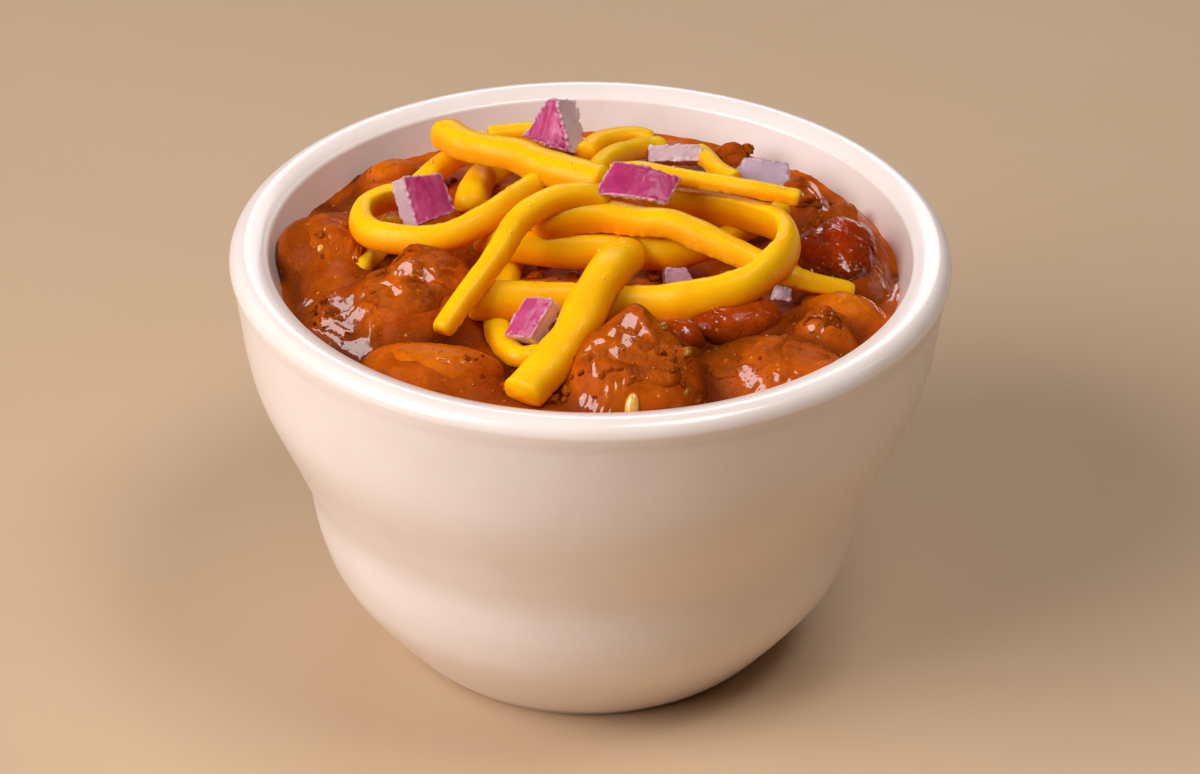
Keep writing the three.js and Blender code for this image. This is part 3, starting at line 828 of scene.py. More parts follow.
# %% Sauce height map
SAUCE_LEVEL = 55.0
MAP_STEP, MAP_HALF = 0.25, 45.0
CALM_FROM, CALM_TO = 36.5, 41.2  # from the middle, in mm: the heaps die out towards the wall
POOLS = [(37, 16, 7), (40, -3.6, 4.5), (10, 37, 9), (-14, 38, 6)]  # still places: x, y, reach
MOUNDS = [  # x, y, rise and reach in mm
    (-30, -9, 3.4, 7),
    (-25, -23, 2.4, 6),
    (28, -19, 2, 5),
    (-37, -6, 3, 6),
    (-36, -13, 2.4, 5),
    (15.5, -31, -1.4, 3),
    (-10.5, -29.5, -1.2, 3),
    (13, -19, -1.2, 4),
    (-6, -31, 1.2, 6),
    (0, -2, 2.4, 24),
    (-3, 28, 3, 9),
    (-21, 17, 3, 8),
    (-13, 13, 2, 7),
    (18, 10, 2.4, 8),
    (18, 23, 2.6, 8),
    (5, 16, 2, 8),
]
axis = np.arange(-MAP_HALF, MAP_HALF + MAP_STEP, MAP_STEP)
map_x, map_y = (side.ravel() for side in np.meshgrid(axis, axis, indexing="ij"))
map_radius = np.hypot(map_x, map_y)
map_points = np.stack([map_x, map_y, np.zeros_like(map_x)], axis=1)

heap = 0.35 * np.sin(map_x * 0.41 + 1.3) * np.cos(map_y * 0.37 - 0.6)
for x, y, rise, reach in MOUNDS:
    heap += rise * np.exp(-((map_x - x) ** 2 + (map_y - y) ** 2) / reach**2)
heap += 0.55 * layered(map_points, 7.0, 2, 41)
lumpy = smoothstep(layered(map_points, 9.0, 2, 43), -0.1, 0.4)
heap += 0.3 * lumpy * layered(map_points, 2.6, 2, 42)
calm = smoothstep(map_radius, CALM_FROM, CALM_TO)
pool = np.zeros_like(heap)
for x, y, reach in POOLS:
    pool = np.maximum(pool, np.exp(-((((map_x - x) ** 2 + (map_y - y) ** 2) / reach**2) ** 2)))
land = SAUCE_LEVEL + heap * (1 - calm) * (1 - 0.8 * pool)
print("sauce map:", len(axis), "points a side, heaps up to", round(heap.max(), 1), "mm")

# %% Lumps in the map
start = 0
all_points, all_faces = [], []
for points, faces in lump_tops:
    all_points.extend(map(Vector, points))
    all_faces.extend(tuple(i + start for i in face) for face in faces)
    start += len(points)
tops = BVHTree.FromPolygons(all_points, all_faces)

DOWN = Vector((0, 0, -1))
ABOVE = 90.0
lump_land = np.full(len(map_x), -1.0)
for i in np.nonzero(map_radius < MAP_HALF)[0]:
    hit = tops.ray_cast(Vector((map_x[i], map_y[i], ABOVE)), DOWN)[0]
    if hit is not None:
        lump_land[i] = hit.z
land = np.maximum(land, lump_land).reshape(len(axis), len(axis))
print("lumps lie under", round(100 * np.mean(lump_land > 0)), "% of the map")


# %% Settling the sauce
def soften(height, reach):
    """Blurs a square map by about reach mm."""
    span = int(3 * reach / MAP_STEP)
    weights = np.exp(-0.5 * (np.arange(-span, span + 1) * MAP_STEP / reach) ** 2)
    weights /= weights.sum()
    for side in (0, 1):
        padded = np.pad(height, [(span, span) if s == side else (0, 0) for s in (0, 1)], "edge")
        parts = [np.roll(padded, -k, side) for k in range(2 * span + 1)]
        cut = [slice(0, n) for n in height.shape]
        height = sum(w * p[tuple(cut)] for w, p in zip(weights, parts))
    return height


CLING = 0.6  # how strongly the sauce keeps to the higher ground, for each mm
CREEP = 1.15  # and how far it reaches, in mm
BARED = [  # where the sauce has run off: x, y, reach and depth in mm
    (33.6, 0.6, 7, 0.9),
    (19.3, -18.6, 5.6, 1),
    (17.4, -22.6, 4.6, 1.3),
    (11.8, -23, 3, 0.6),
    (-10.8, -28.6, 2.6, 0.9),
]
# painted shade: DIP_SHADE sets how much darker the colour of a dip is painted
DIP_REACH, DIP_SHADE = 2.0, 0.8  # a dip is measured against this much around it, and darkened

settled = np.log(soften(np.exp(CLING * (land - SAUCE_LEVEL)), CREEP)) / CLING + SAUCE_LEVEL
skin = 0.1 * layered(map_points, 1.6, 2, 44) + 0.02 * layered(map_points, 0.6, 2, 45)
skin *= 1 - 0.85 * pool
for x, y, reach, drop in BARED:
    skin -= drop * np.exp(-((((map_x - x) ** 2 + (map_y - y) ** 2) / reach**2) ** 2))
settled += skin.reshape(settled.shape)
pool = pool.reshape(settled.shape)
# painted shade: sauce that lies below what is around it, in dips, beside lumps and under strands,
# gets a deeper colour
around_it = soften(np.maximum(settled, land), DIP_REACH)
painted_dips = np.clip(0.15 + DIP_SHADE * (around_it - settled), 0, 1)
print("settled sauce:", round(settled.min(), 1), "to", round(settled.max(), 1), "mm high")


def read_map(values, x, y):
    """The map's value at any place, blended between its four nearest points."""
    u, v = (x + MAP_HALF) / MAP_STEP, (y + MAP_HALF) / MAP_STEP
    i, j = np.clip(u.astype(int), 0, len(axis) - 2), np.clip(v.astype(int), 0, len(axis) - 2)
    p, q = u - i, v - j
    low = values[i, j] * (1 - p) + values[i + 1, j] * p
    high = values[i, j + 1] * (1 - p) + values[i + 1, j + 1] * p
    return low * (1 - q) + high * q


# %% [markdown]
# The surface is a disc of nearly equal triangles: ring after ring, each with six more points than
# the one before. At the wall the sauce creeps up unevenly and leaves a thin line. Below the
# surface the body follows the inside of the cup and reaches a hair into the wall, so that no light
# can get between them.

# %% Rings of the surface
SAUCE_RINGS = 122
INTO_WALL = 0.3
WALL_RADIUS, WALL_HEIGHT = CAVITY_WALL[-1]
SAUCE_EDGE = WALL_RADIUS + INTO_WALL

rings = [np.zeros((1, 2))]
faces = []
for ring in range(1, SAUCE_RINGS + 1):
    angle = np.linspace(0, 2 * np.pi, 6 * ring, endpoint=False)
    rings.append(ring * SAUCE_EDGE / SAUCE_RINGS * np.stack([np.cos(angle), np.sin(angle)], axis=1))
starts = np.cumsum([0] + [len(r) for r in rings])


def join_rings(inner, outer, inner_start, outer_start):
    """Triangles between two rings of different counts, always taking the nearer step."""
    faces, i, j = [], 0, 0
    while i < inner or j < outer:
        a, b = inner_start + i % inner, outer_start + j % outer
        if j < outer and (i >= inner or (j + 1) * inner <= (i + 1) * outer):
            faces.append((a, b, outer_start + (j + 1) % outer))
            j += 1
        else:
            faces.append((a, b, inner_start + (i + 1) % inner))
            i += 1
    return faces


faces += [(0, 1 + i, 1 + (i + 1) % 6) for i in range(6)]
for ring in range(1, SAUCE_RINGS):
    faces += join_rings(6 * ring, 6 * ring + 6, starts[ring], starts[ring + 1])
print("surface:", starts[-1], "points in", SAUCE_RINGS, "rings")

# %% Sauce surface
CLIMB_WIDTH = 0.55
SMEARS = [(43, 5, 0.5), (137, 5, 0.6), (158, 4, 0.4)]  # direction, width in degrees, height in mm
WALL_SLOPE = (MOUTH_RADIUS - WALL_RADIUS) / (MOUTH_HEIGHT - WALL_HEIGHT)
WIDEN_FROM = 37  # from the middle, in mm: outside this the surface leans out with the wall
# painted shadow: the shadow of the wall at the left is painted into the colour of the sauce beside
# it
WALL_SHADE = 0.7  # how much the wall at the left darkens the sauce beside it
THIN_FROM, THIN_TO = 39.6, 41.6  # from the middle, in mm: the sauce thins out towards the wall

plan = np.vstack(rings)
radius = np.hypot(plan[:, 0], plan[:, 1])
height = read_map(settled, plan[:, 0], plan[:, 1])
bearing = np.column_stack([plan, np.zeros(len(plan))])
climb = 0.15 + 0.45 * smoothstep(layered(bearing, 8.0, 3, 51), -0.2, 0.9)
compass = np.degrees(np.arctan2(plan[:, 1], plan[:, 0]))
for toward, width, rise in SMEARS:
    apart = (compass - toward + 180) % 360 - 180
    climb += rise * np.exp(-((apart / width) ** 2)) * (0.7 + 0.6 * layered(bearing, 1.5, 3, 52))
height += climb * np.exp(-np.clip(WALL_RADIUS - radius, 0, None) / CLIMB_WIDTH)
top = np.column_stack([plan, height])
hollow = read_map(painted_dips, plan[:, 0], plan[:, 1])
# painted shadow of the wall at the left, added to the painted shade in the dips
hollow += WALL_SHADE * smoothstep(radius, 34, 40) * smoothstep(-plan[:, 0], 24, 36)
hollow = np.clip(hollow, 0, 1)
wet = np.maximum(settle_wet_places(top), read_map(pool, plan[:, 0], plan[:, 1]))
top[starts[SAUCE_RINGS] :, :2] = rings[-1]
widening = WALL_SLOPE * (top[:, 2] - WALL_HEIGHT) * smoothstep(radius, WIDEN_FROM, SAUCE_EDGE)
top[:, :2] *= (1 + widening / np.maximum(radius, 1))[:, None]
thin = 0.6 * smoothstep(radius, THIN_FROM, THIN_TO)
thin *= np.clip(0.6 + layered(bearing, 3.0, 2, 53), 0, 1)
print("sauce edge:", round(top[starts[SAUCE_RINGS] :, 2].max(), 1), "mm high at most")

# %% Sauce body
edge = top[starts[SAUCE_RINGS] :]
around = len(edge)
body = [edge]
for wall_radius, wall_height in CAVITY_WALL[::-1][1:] + [(16, 6.9), (4, 6.6)]:
    ring = edge.copy()
    ring[:, :2] *= (wall_radius + INTO_WALL) / np.hypot(edge[:, 0], edge[:, 1])[:, None]
    ring[:, 2] = wall_height - INTO_WALL
    body.append(ring)
under = np.vstack(body[1:])
points = np.vstack([top, under])
first = starts[SAUCE_RINGS]
for face in ring_faces(len(body), around):
    faces.append(tuple(first + i for i in face)[::-1])
faces.append(tuple(range(len(points) - around, len(points)))[::-1])
values = {"hollow": hollow, "wet": wet, "thin": thin}
values = {title: np.r_[numbers, np.zeros(len(under))] for title, numbers in values.items()}
make_piece("chili_sauce", points, faces, sauce_look, ["sauce"], values)

# %% [markdown]
# ## Cheese
# Shredded mild cheese comes off the grater as long strips: rounded on the side that met the blade,
# flat on the other, with two crumbly edges. A curve object with a bevel could draw such a strip,
# but the crumbs and the change of girth along it need points of their own. So a section is swept
# along a route here by hand. The section stays level, except where a strip stands on its edge.
# Cheese is translucent: light that enters at the top comes out lower down as a deeper orange. A
# subsurface share does part of that, and the rest is painted: a number for how far a point faces
# down turns its colour a deeper orange, as painted shade and glow.

# %% Cheese material
cheese_look, tree, shader = new_material(
    "golden_cheese", Coat_Weight=0.05, Coat_Roughness=0.25, IOR=1.42, Specular_IOR_Level=0.14
)
let_light_in(tree, shader, share=0.6, depth=2.8, colors=(1.0, 0.44, 0.05))
tone = use_group(tree, patches, size=6.0, spread=0.4, dark="#ffb004", light="#ffc80e")
# painted shade and glow: the parts that face down are coloured a deeper orange
color = mix_colors(tree, mesh_value(tree, "under"), tone["Color"], "#ff9402")
crumb = mesh_value(tree, "crumb")
color = mix_colors(tree, math_node(tree, "MULTIPLY", crumb, 0.5), color, "#ffc430")
feed(tree, shader["Base Color"], color)
feed(tree, shader["Roughness"], remap(tree, crumb, 0.0, 1.0, 0.36, 0.6))
feel = use_group(tree, grain, size=0.45, coarse=2.0)
add_bump(tree, shader, feel["Height"], 0.03)
print("cheese nodes:", len(tree.nodes))

# %% Section of a strand
SECTION_POINTS = 30

around_section = np.linspace(0, 2 * np.pi, SECTION_POINTS, endpoint=False)
section_cos, section_sin = np.cos(around_section), np.sin(around_section)
rounded, flat_side = 0.7 * np.abs(section_sin) ** 0.9, -0.3 * np.abs(section_sin) ** 0.5
section_x = 0.5 * np.sign(section_cos) * np.abs(section_cos) ** 0.8
section_y = np.where(section_sin > 0, rounded, flat_side) - 0.2
off_edge_x, off_edge_y = (np.abs(section_x) - 0.46) / 0.07, (section_y + 0.34) / 0.13
section_edge = np.exp(-(off_edge_x**2) - off_edge_y**2)  # 1 along the two crumbly edges
print("section of a strand:", SECTION_POINTS, "points,", (section_edge > 0.5).sum(), "on its edges")


# %% Route of a strand
ROUTE_STEP = 0.2
FEWEST_STEPS = 8


def route_curve(route):
    """Evenly spaced points on a smooth curve through the route, their directions and lengths."""
    p = np.array(route, float)
    p = np.vstack([2 * p[0] - p[1], p, 2 * p[-1] - p[-2]])
    gap = np.sqrt(np.linalg.norm(np.diff(p, axis=0), axis=1))
    t = np.linspace(0, 1, CURVE_STEPS, endpoint=False)[:, None]
    stretches = []
    for i in range(len(route) - 1):
        p0, p1, p2, p3 = p[i : i + 4]
        d0, d1, d2 = gap[i : i + 3]
        leave = ((p1 - p0) / d0 - (p2 - p0) / (d0 + d1) + (p2 - p1) / d1) * d1
        arrive = ((p2 - p1) / d1 - (p3 - p1) / (d1 + d2) + (p3 - p2) / d2) * d1
        stretches.append(hermite(p1, p2, leave, arrive, t))
    curve = np.vstack(stretches + [p[-2:-1]])
    length = run_lengths(curve)
    even = np.linspace(0, length[-1], max(FEWEST_STEPS, round(length[-1] / ROUTE_STEP)) + 1)
    line = at_lengths(curve, length, even)
    ahead = np.gradient(line, axis=0)
    return line, ahead / np.linalg.norm(ahead, axis=1)[:, None], even


# %% Sweeping a strand
ROLL_WANDER, GIRTH_WANDER = np.radians(5), 0.06
END_TAPER, END_LENGTH = 0.2, 0.8  # a cut end is a little thinner, over its last part of a mm
SHORTEST_END = 0.02  # keeps the last ring of a rounded end from shrinking to a point


def between(first_last, share):
    return first_last[0] + (first_last[1] - first_last[0]) * share


def strand_girth(number, wander, length, girths, round_ends):
    """How thick the strand is along its length, as a share of its width."""
    girth = between(girths, length / length[-1])
    girth = girth * (1 + GIRTH_WANDER * layered(wander, 5.0, 2, 90 + number))
    ends = np.minimum(length, length[-1] - length)
    girth *= 1 - END_TAPER + END_TAPER * np.sqrt(np.clip(ends / END_LENGTH, 0, 1))
    for end_length, reach in zip((length, length[-1] - length), round_ends):
        if reach:
            short = 1 - np.clip(end_length / reach, SHORTEST_END, 1)
            girth *= np.sqrt(1 - short * short)
    return girth


def sweep_strand(
    number, route, width, thick, rolls=(0, 0), girths=(1, 1), crumbs=0.05, round_ends=(0, 0)
):
    """Points of a strand, its mesh values and its count of rings. Its rolls in degrees, girths
    and round_ends in mm are those of its first and its last end."""
    line, ahead, length = route_curve(route)
    wander = np.outer(length, (1, 0, 0))
    roll = np.radians(between(rolls, length / length[-1]))
    roll += ROLL_WANDER * layered(wander, 9.0, 2, 60 + number)
    side = np.cross((0, 0, 1), ahead)
    side /= np.linalg.norm(side, axis=1)[:, None]
    side = side * np.cos(roll)[:, None] + np.cross(ahead, side) * np.sin(roll)[:, None]
    up = np.cross(ahead, side)
    girth = strand_girth(number, wander, length, girths, round_ends)[:, None]
    points = line[:, None, :] + (girth * width * section_x)[:, :, None] * side[:, None, :]
    points += (girth * thick * section_y)[:, :, None] * up[:, None, :]
    points = points.reshape(-1, 3)
    outward = points - np.repeat(line, SECTION_POINTS, axis=0)
    outward /= np.linalg.norm(outward, axis=1)[:, None]
    edge = np.tile(section_edge, len(line))
    torn = np.clip(layered(points, 0.7, 2, 120 + number), -0.2, 1)
    relief = crumbs * edge * (1 + 2.2 * torn) + 0.05 * layered(points, 2.2, 2, 150 + number)
    crumb = np.clip(edge * (0.4 + torn), 0, 1)
    # painted shade and glow: how far each point faces down, for a deeper orange colour
    under = smoothstep(-outward[:, 2], -0.9, 0.6)
    return points + outward * relief[:, None], {"crumb": crumb, "under": under}, len(line)


def close_ends(rings):
    """The two end faces. A cut strand needs no rounded cap."""
    last = (rings - 1) * SECTION_POINTS
    return [tuple(range(SECTION_POINTS))[::-1], tuple(range(last, last + SECTION_POINTS))]


# %% Strand list
STRANDS = {  # width, thickness and route in mm
    "top": dict(
        width=5.2, thick=3.9, round_ends=(2.6, 1.2),
        route=[
            (-21.6, 21.4, 65.6), (-20.2, 19.8, 66.2), (-17.5, 17, 66), (-14, 14.5, 66.5),
            (-10, 12, 67), (-6.5, 9, 67), (-2.5, 6, 67.4), (2, 3.6, 67.3),
        ],
    ),
    "long_left": dict(
        width=3.9, thick=3.2, girths=(1, 0.74),
        route=[
            (2, -0.2, 66.6), (-0.9, -0.9, 67.9), (-5.3, -3.4, 68.5), (-9.6, -8.4, 68.1),
            (-12, -13.5, 66.5), (-14, -17, 65), (-16.5, -20.5, 63), (-19.5, -25, 60.5),
        ],
    ),
    "long_front": dict(
        width=5.6, thick=3.8, girths=(0.95, 1.06), round_ends=(0, 0.9),
        route=[
            (5, -4, 61.3), (4.2, -8.6, 62.9), (2, -15, 63.9), (0, -20, 63), (-2, -25.5, 61.5),
            (-5, -30.5, 59.5), (-9, -36.6, 57.7),
        ],
    ),
    "arch": dict(
        width=4.9, thick=3.9, rolls=(15, -30), girths=(1.12, 0.66), crumbs=0.09,
        round_ends=(2.2, 0),
        route=[
            (-8.4, -4, 64.6), (-5.6, -2.9, 65.4), (-2.5, -1.9, 65.5), (2, -1.7, 65.3),
            (6.5, -2.8, 65.1), (11, -4.1, 65.3), (15, -6, 64.5), (19, -8, 63.5), (27.5, -10, 60.5),
            (35, -9, 58),
        ],
    ),
    "back_bar": dict(
        width=2.7, thick=2, crumbs=0.1,
        route=[
            (2.5, 6.8, 67.4), (6.5, 6.3, 68), (12, 4.3, 68), (17.5, 2.8, 68), (23, 0.8, 68),
            (28, -0.2, 67.5),
        ],
    ),
    "loop": dict(
        width=5.2, thick=2.6, rolls=(75, 80),
        route=[
            (-16, -17.5, 60.5), (-9.5, -17.5, 60.5), (-4, -16.5, 60), (1.5, -16, 59.5),
            (6.5, -17, 60), (12, -18, 61), (16.5, -18, 62), (20.5, -17, 63), (23.5, -14.5, 64),
            (26, -10.5, 64.5), (26.5, -5.5, 64.5), (25, -1, 64), (22, 2, 63.5), (17.5, 4, 63.5),
            (12, 6, 63), (7.5, 8, 62.5),
        ],
    ),
    "hairpin": dict(
        width=3.5, thick=2, rolls=(75, 60), girths=(1.3, 1),
        route=[
            (-24.5, 8, 62.7), (-28, 7.5, 62.6), (-31, 5, 62.3), (-31.5, 0.5, 62.4), (-29.5, -4, 63),
            (-24, -6.5, 63.5), (-19.5, -6.5, 64), (-14.5, -3.5, 65), (-11, 1, 65.5),
            (-7, 6.8, 65.6),
        ],
    ),
    "under_arch": dict(
        width=4.6, thick=2.2, rolls=(65, 65),
        route=[
            (-15.4, -2.2, 61.5), (-11.5, -4.5, 62), (-7.5, -5, 61.6), (-2.5, -5, 61.2),
            (5.5, -4.5, 61.2), (10.5, -5, 61.2), (14.5, -4, 61.7), (17, -3, 62),
        ],
    ),
    "left": dict(
        width=3.8, thick=3, girths=(1, 0.8), round_ends=(0, 2.4),
        route=[
            (-15, 24.5, 62), (-20.5, 20, 61.5), (-25, 14, 59.6), (-27, 9, 58.6), (-28.8, 2, 58.4),
            (-30.2, -3, 58.9), (-31.4, -7, 58.6),
        ],
    ),
    "curl": dict(
        width=4.4, thick=3.2, round_ends=(0, 2),
        route=[
            (-12.5, 21.5, 61.5), (-14, 19.5, 61), (-15.5, 16.5, 61), (-16.5, 12.5, 60.5),
            (-17, 9, 60),
        ],
    ),
    "hook": dict(
        width=3.4, thick=2.6,
        route=[
            (-10.5, -1, 58.5), (-11.5, -8, 58), (-12.5, -14, 57.5), (-12, -19.5, 57.5),
            (-10.5, -23.5, 57), (-9, -25.5, 57), (-6, -24.5, 57),
        ],
    ),
    "inner": dict(
        width=3, thick=2.6,
        route=[(26.5, 9, 61), (23.5, 6, 60.5), (20, 3.5, 60), (16.5, 1.5, 59.5)],
    ),
    "back": dict(
        width=3.4, thick=2.8,
        route=[(-1, 24, 61), (1, 28, 60.7), (3.5, 30.3, 60.3), (6, 31.4, 60), (8.5, 31.2, 59.4)],
    ),
    "back_turn": dict(
        width=3.2, thick=2.6,
        route=[
            (10, 28.3, 60.2), (7.5, 26.6, 60.8), (5, 23.6, 61.8), (2.5, 19.4, 63),
            (0.5, 14.4, 63.6),
        ],
    ),
    "far": dict(
        width=3.2, thick=2.6,
        route=[
            (-14.8, 33.5, 58.8), (-11.8, 34.3, 58.8), (-9.3, 34.6, 58.9), (-6.4, 33.4, 59),
            (-2.6, 30.4, 59.2),
        ],
    ),
    "scrap": dict(
        width=2.8, thick=2,
        route=[(15, 27.5, 60), (16.5, 23.5, 60.5), (18, 19.5, 61), (20, 16.5, 61.5)],
    ),
}
widths = sorted(strand["width"] for strand in STRANDS.values())
print("strands:", len(STRANDS), "from", widths[0], "to", widths[-1], "mm wide")

# %% Strand meshes
for number, (name, strand) in enumerate(STRANDS.items()):
    points, values, rings = sweep_strand(number, **strand)
    faces = ring_faces(rings, SECTION_POINTS) + close_ends(rings)
    make_piece(f"{name}_strand", points, faces, cheese_look, [f"cheese_{name}"], values)

# %% [markdown]
# ## Red onion
# A dice of red onion is a stack of layers cut square. Its outer face is the thin purple skin of
# one layer, and its cut sides are white flesh with a pink blush under the skin and fine veins. Raw
# onion is crisp and wet, so its edges are sharp and slightly ragged. Each dice is a thin prism
# that a Remesh modifier cuts into small squares. Every point carries how near it is to the skin,
# and each dice how veined and how glassy it is, which the material turns into colour.

# %% Onion material
onion_look, tree, shader = new_material(
    "red_onion", Roughness=0.42, Coat_Weight=0.15, Coat_Roughness=0.15, IOR=1.4
)
let_light_in(tree, shader, share=0.35, depth=1.0, colors=(1.0, 0.55, 0.75))
streak = mesh_value(tree, "streak")
purple = use_group(tree, patches, size=2.4, spread=0.3, dark="#a01856", light="#c42c70")
vein = math_node(tree, "MULTIPLY", streak, mesh_value(tree, "veins"))
veined = mix_colors(tree, vein, purple["Color"], "#e696bc")
flesh = use_group(tree, patches, size=1.2, spread=0.35, dark="#d8b6b8", light="#eedcd6")
layers = mix_colors(tree, math_node(tree, "MULTIPLY", streak, 0.3), flesh["Color"], "#d6a4b8")
layers = mix_colors(tree, mesh_value(tree, "glassy"), layers, "#a2889c")
feed(tree, shader["Base Color"], mix_colors(tree, mesh_value(tree, "skin"), layers, veined))
feel = use_group(tree, grain, size=0.35, coarse=1.0)
add_bump(tree, shader, feel["Height"], 0.015)
print("onion nodes:", len(tree.nodes))

# %% A fine prism
ONION_SQUARE = 0.16


def fine_prism(name, corners, thick):
    """Points, normals and faces of a prism that is made of small squares. Its top is at 0."""
    form = bmesh.new()
    front = [form.verts.new((x * MM, y * MM, 0)) for x, y in corners]
    back = [form.verts.new((x * MM, y * MM, -thick * MM)) for x, y in corners]
    form.faces.new(front)
    form.faces.new(back[::-1])
    for i in range(len(corners)):
        j = (i + 1) % len(corners)
        form.faces.new((front[i], back[i], back[j], front[j]))
    mesh = bpy.data.meshes.new(name)
    form.to_mesh(mesh)
    form.free()
    block = bpy.data.objects.new(name, mesh)
    bpy.context.scene.collection.objects.link(block)
    remesh = block.modifiers.new("fine", "REMESH")
    remesh.mode = "VOXEL"
    remesh.voxel_size = ONION_SQUARE * MM
    fine = block.evaluated_get(bpy.context.evaluated_depsgraph_get()).to_mesh()
    points = np.array([v.co for v in fine.vertices]) / MM
    normals = np.array([v.normal for v in fine.vertices])
    faces = [tuple(f.vertices) for f in fine.polygons]
    bpy.data.objects.remove(block)
    bpy.data.meshes.remove(mesh)
    return points, normals, faces


# %% Onion shapes
CORNER_WIDTH, CORNER_DEPTH = 0.45, 0.5  # how far the ragged edges reach in, in mm
WHITE_EDGE = 0.16  # the skin has lost its colour this near to a cut
SKIN_FROM, SKIN_TO = 0.3, 0.75  # depth over which purple turns to white, in mm
CURL = 0.03  # each layer of an onion is bent


def depth_inside(points, corners):
    """How far each point is from the nearest cut side."""
    outline = np.array(corners, float)
    inside = np.full(len(points), np.inf)
    for a, b in zip(outline, np.roll(outline, -1, axis=0)):
        side = np.array([a[1] - b[1], b[0] - a[0]]) / np.linalg.norm(b - a)
        inside = np.minimum(inside, np.abs((points[:, :2] - a) @ side))
    return inside


def dice_points(
    name, at, corners, thick, lean, heading=0, skin=1.0, ragged=0.2, veins=0.1, glassy=0.2
):
    """A prism with ragged edges and streaked flesh, leant over, turned and laid in its place."""
    points, normals, faces = fine_prism(name, corners, thick)
    number = sum(map(ord, name))  # a seed of its own for each dice
    depth = -points[:, 2]
    inside = depth_inside(points, corners)
    corner = np.exp(-((inside / CORNER_WIDTH) ** 2))
    corner *= np.exp(-((np.minimum(depth, thick - depth) / CORNER_DEPTH) ** 2))
    relief = 0.05 * layered(points, 1.8, 2, number) + 0.015 * layered(points, 0.5, 2, number + 1)
    relief += ragged * corner * layered(points, 0.55, 2, number + 3)
    streak = layered(points * (1, 0.16, 1), 0.5, 3, number + 4)
    relief += 0.02 * streak
    points = points + normals * relief[:, None]
    points[:, 2] -= CURL * points[:, 0] ** 2
    uneven_depth = depth + 0.12 * layered(points, 0.8, 2, number + 2)
    purple = skin * (1 - smoothstep(uneven_depth, SKIN_FROM, SKIN_TO))
    blush = np.clip(purple * (1 - 0.8 * np.exp(-((inside / WHITE_EDGE) ** 2))), 0, 1)
    for angle, axis_a, axis_b in ((90 - lean, 1, 2), (heading, 0, 1)):
        turn = math.radians(angle)
        a, b = points[:, axis_a].copy(), points[:, axis_b].copy()
        points[:, axis_a] = a * math.cos(turn) - b * math.sin(turn)
        points[:, axis_b] = a * math.sin(turn) + b * math.cos(turn)
    values = {"skin": blush, "streak": np.clip(0.5 + 0.5 * streak, 0, 1)}
    values["veins"] = np.full(len(points), veins)
    values["glassy"] = np.full(len(points), glassy)
    return points + np.array(at), faces, values


# %% Dice list
DICES = {  # at, corners and thick in mm, lean and heading in degrees
    "left": dict(
        at=(-22, 0.5, 66.2), corners=[(-2.7, 3.7), (-2.8, -3.1), (3.4, -2.7), (3.1, 2.8)],
        thick=4.2, lean=35, heading=32, veins=0.25, glassy=0.4,
    ),
    "peak": dict(
        at=(-5.4, 26.3, 64.2), corners=[(-5.1, -3.2), (3.6, -2.9), (-0.8, 3.6), (-2.3, 3.2)],
        ragged=0.45, veins=0.45, thick=4.6, lean=24, heading=-38,
    ),
    "middle": dict(
        at=(6.2, -0.5, 70.3), corners=[(-6, -1.9), (3.8, -3.8), (5.9, 0.6), (-3.1, 2.8)],
        thick=0.6, lean=58, heading=2, veins=0.02,
    ),
    "front": dict(
        at=(-7.4, -23.2, 62), corners=[(-2.9, -4.1), (1.3, -3), (1.6, 2.9), (-2.6, 1.8)],
        thick=3, lean=46, heading=-40, glassy=0.0,
    ),
    "pale": dict(
        at=(11.8, 24, 61.4), corners=[(-4, -1.2), (4, -1.4), (3.6, 1), (-3.8, 1.3)],
        thick=3, lean=40, heading=6, skin=0.05,
    ),
    "clear": dict(
        at=(23.6, 20.4, 60.2),
        corners=[(-4.4, -1), (1.2, -2.4), (4.4, -1.2), (3.6, 2), (-2.6, 2.2)],
        thick=3, lean=48, heading=-10, skin=0.0, glassy=0.75,
    ),
    "small": dict(
        at=(11.8, -8, 59.4), corners=[(-2, -1.2), (2, -1), (1.2, 1.2), (-1.7, 1.3)],
        thick=2, lean=40, heading=15, skin=0.4,
    ),
    "chip": dict(
        at=(25.6, -10.6, 58.4), corners=[(-1.5, -1), (1.6, -0.9), (1.2, 1.1), (-1.2, 1)],
        thick=1.6, lean=35, heading=-20, skin=0.0,
    ),
    "sliver": dict(
        at=(11.2, -20.6, 58.9), corners=[(-2.6, -0.5), (2.6, -0.6), (2.3, 0.7), (-2.2, 0.8)],
        thick=1.6, lean=40, heading=4, skin=0.5,
    ),
}
print("onion dice:", len(DICES))

# %% Dice meshes
for name, dice in DICES.items():
    points, faces, values = dice_points(name, **dice)
    make_piece(f"{name}_onion", points, faces, onion_look, [f"onion_{name}"], values)

# %% [markdown]
# ## Small things
# What makes a bowl of chili look real is what nobody counts: crumbs of ground beef that stick out
# of the sauce, flakes of dried chili, beads of orange fat, a seed or two, and crumbs of cheese. A
# particle system could scatter them, but it can't be kept as a mesh so simply. Here each bit is a
# small ball, flattened and roughened, and laid on whatever surface a ray from above meets first.
# All bits of one kind are one mesh. Crumbs of beef wear the look of the lumps, but a crumb of
# cheese is too small for light to wander in it, so its look is paler and drier than a strand's.

# %% Surfaces to lay things on
randoms = np.random.default_rng(11)
depsgraph = bpy.context.evaluated_depsgraph_get()


def surfaces(*endings):
    """Search trees of the pieces whose names end so."""
    chosen = [o for o in bpy.context.scene.objects if o.name.endswith(endings)]
    return [BVHTree.FromObject(o, depsgraph) for o in chosen]


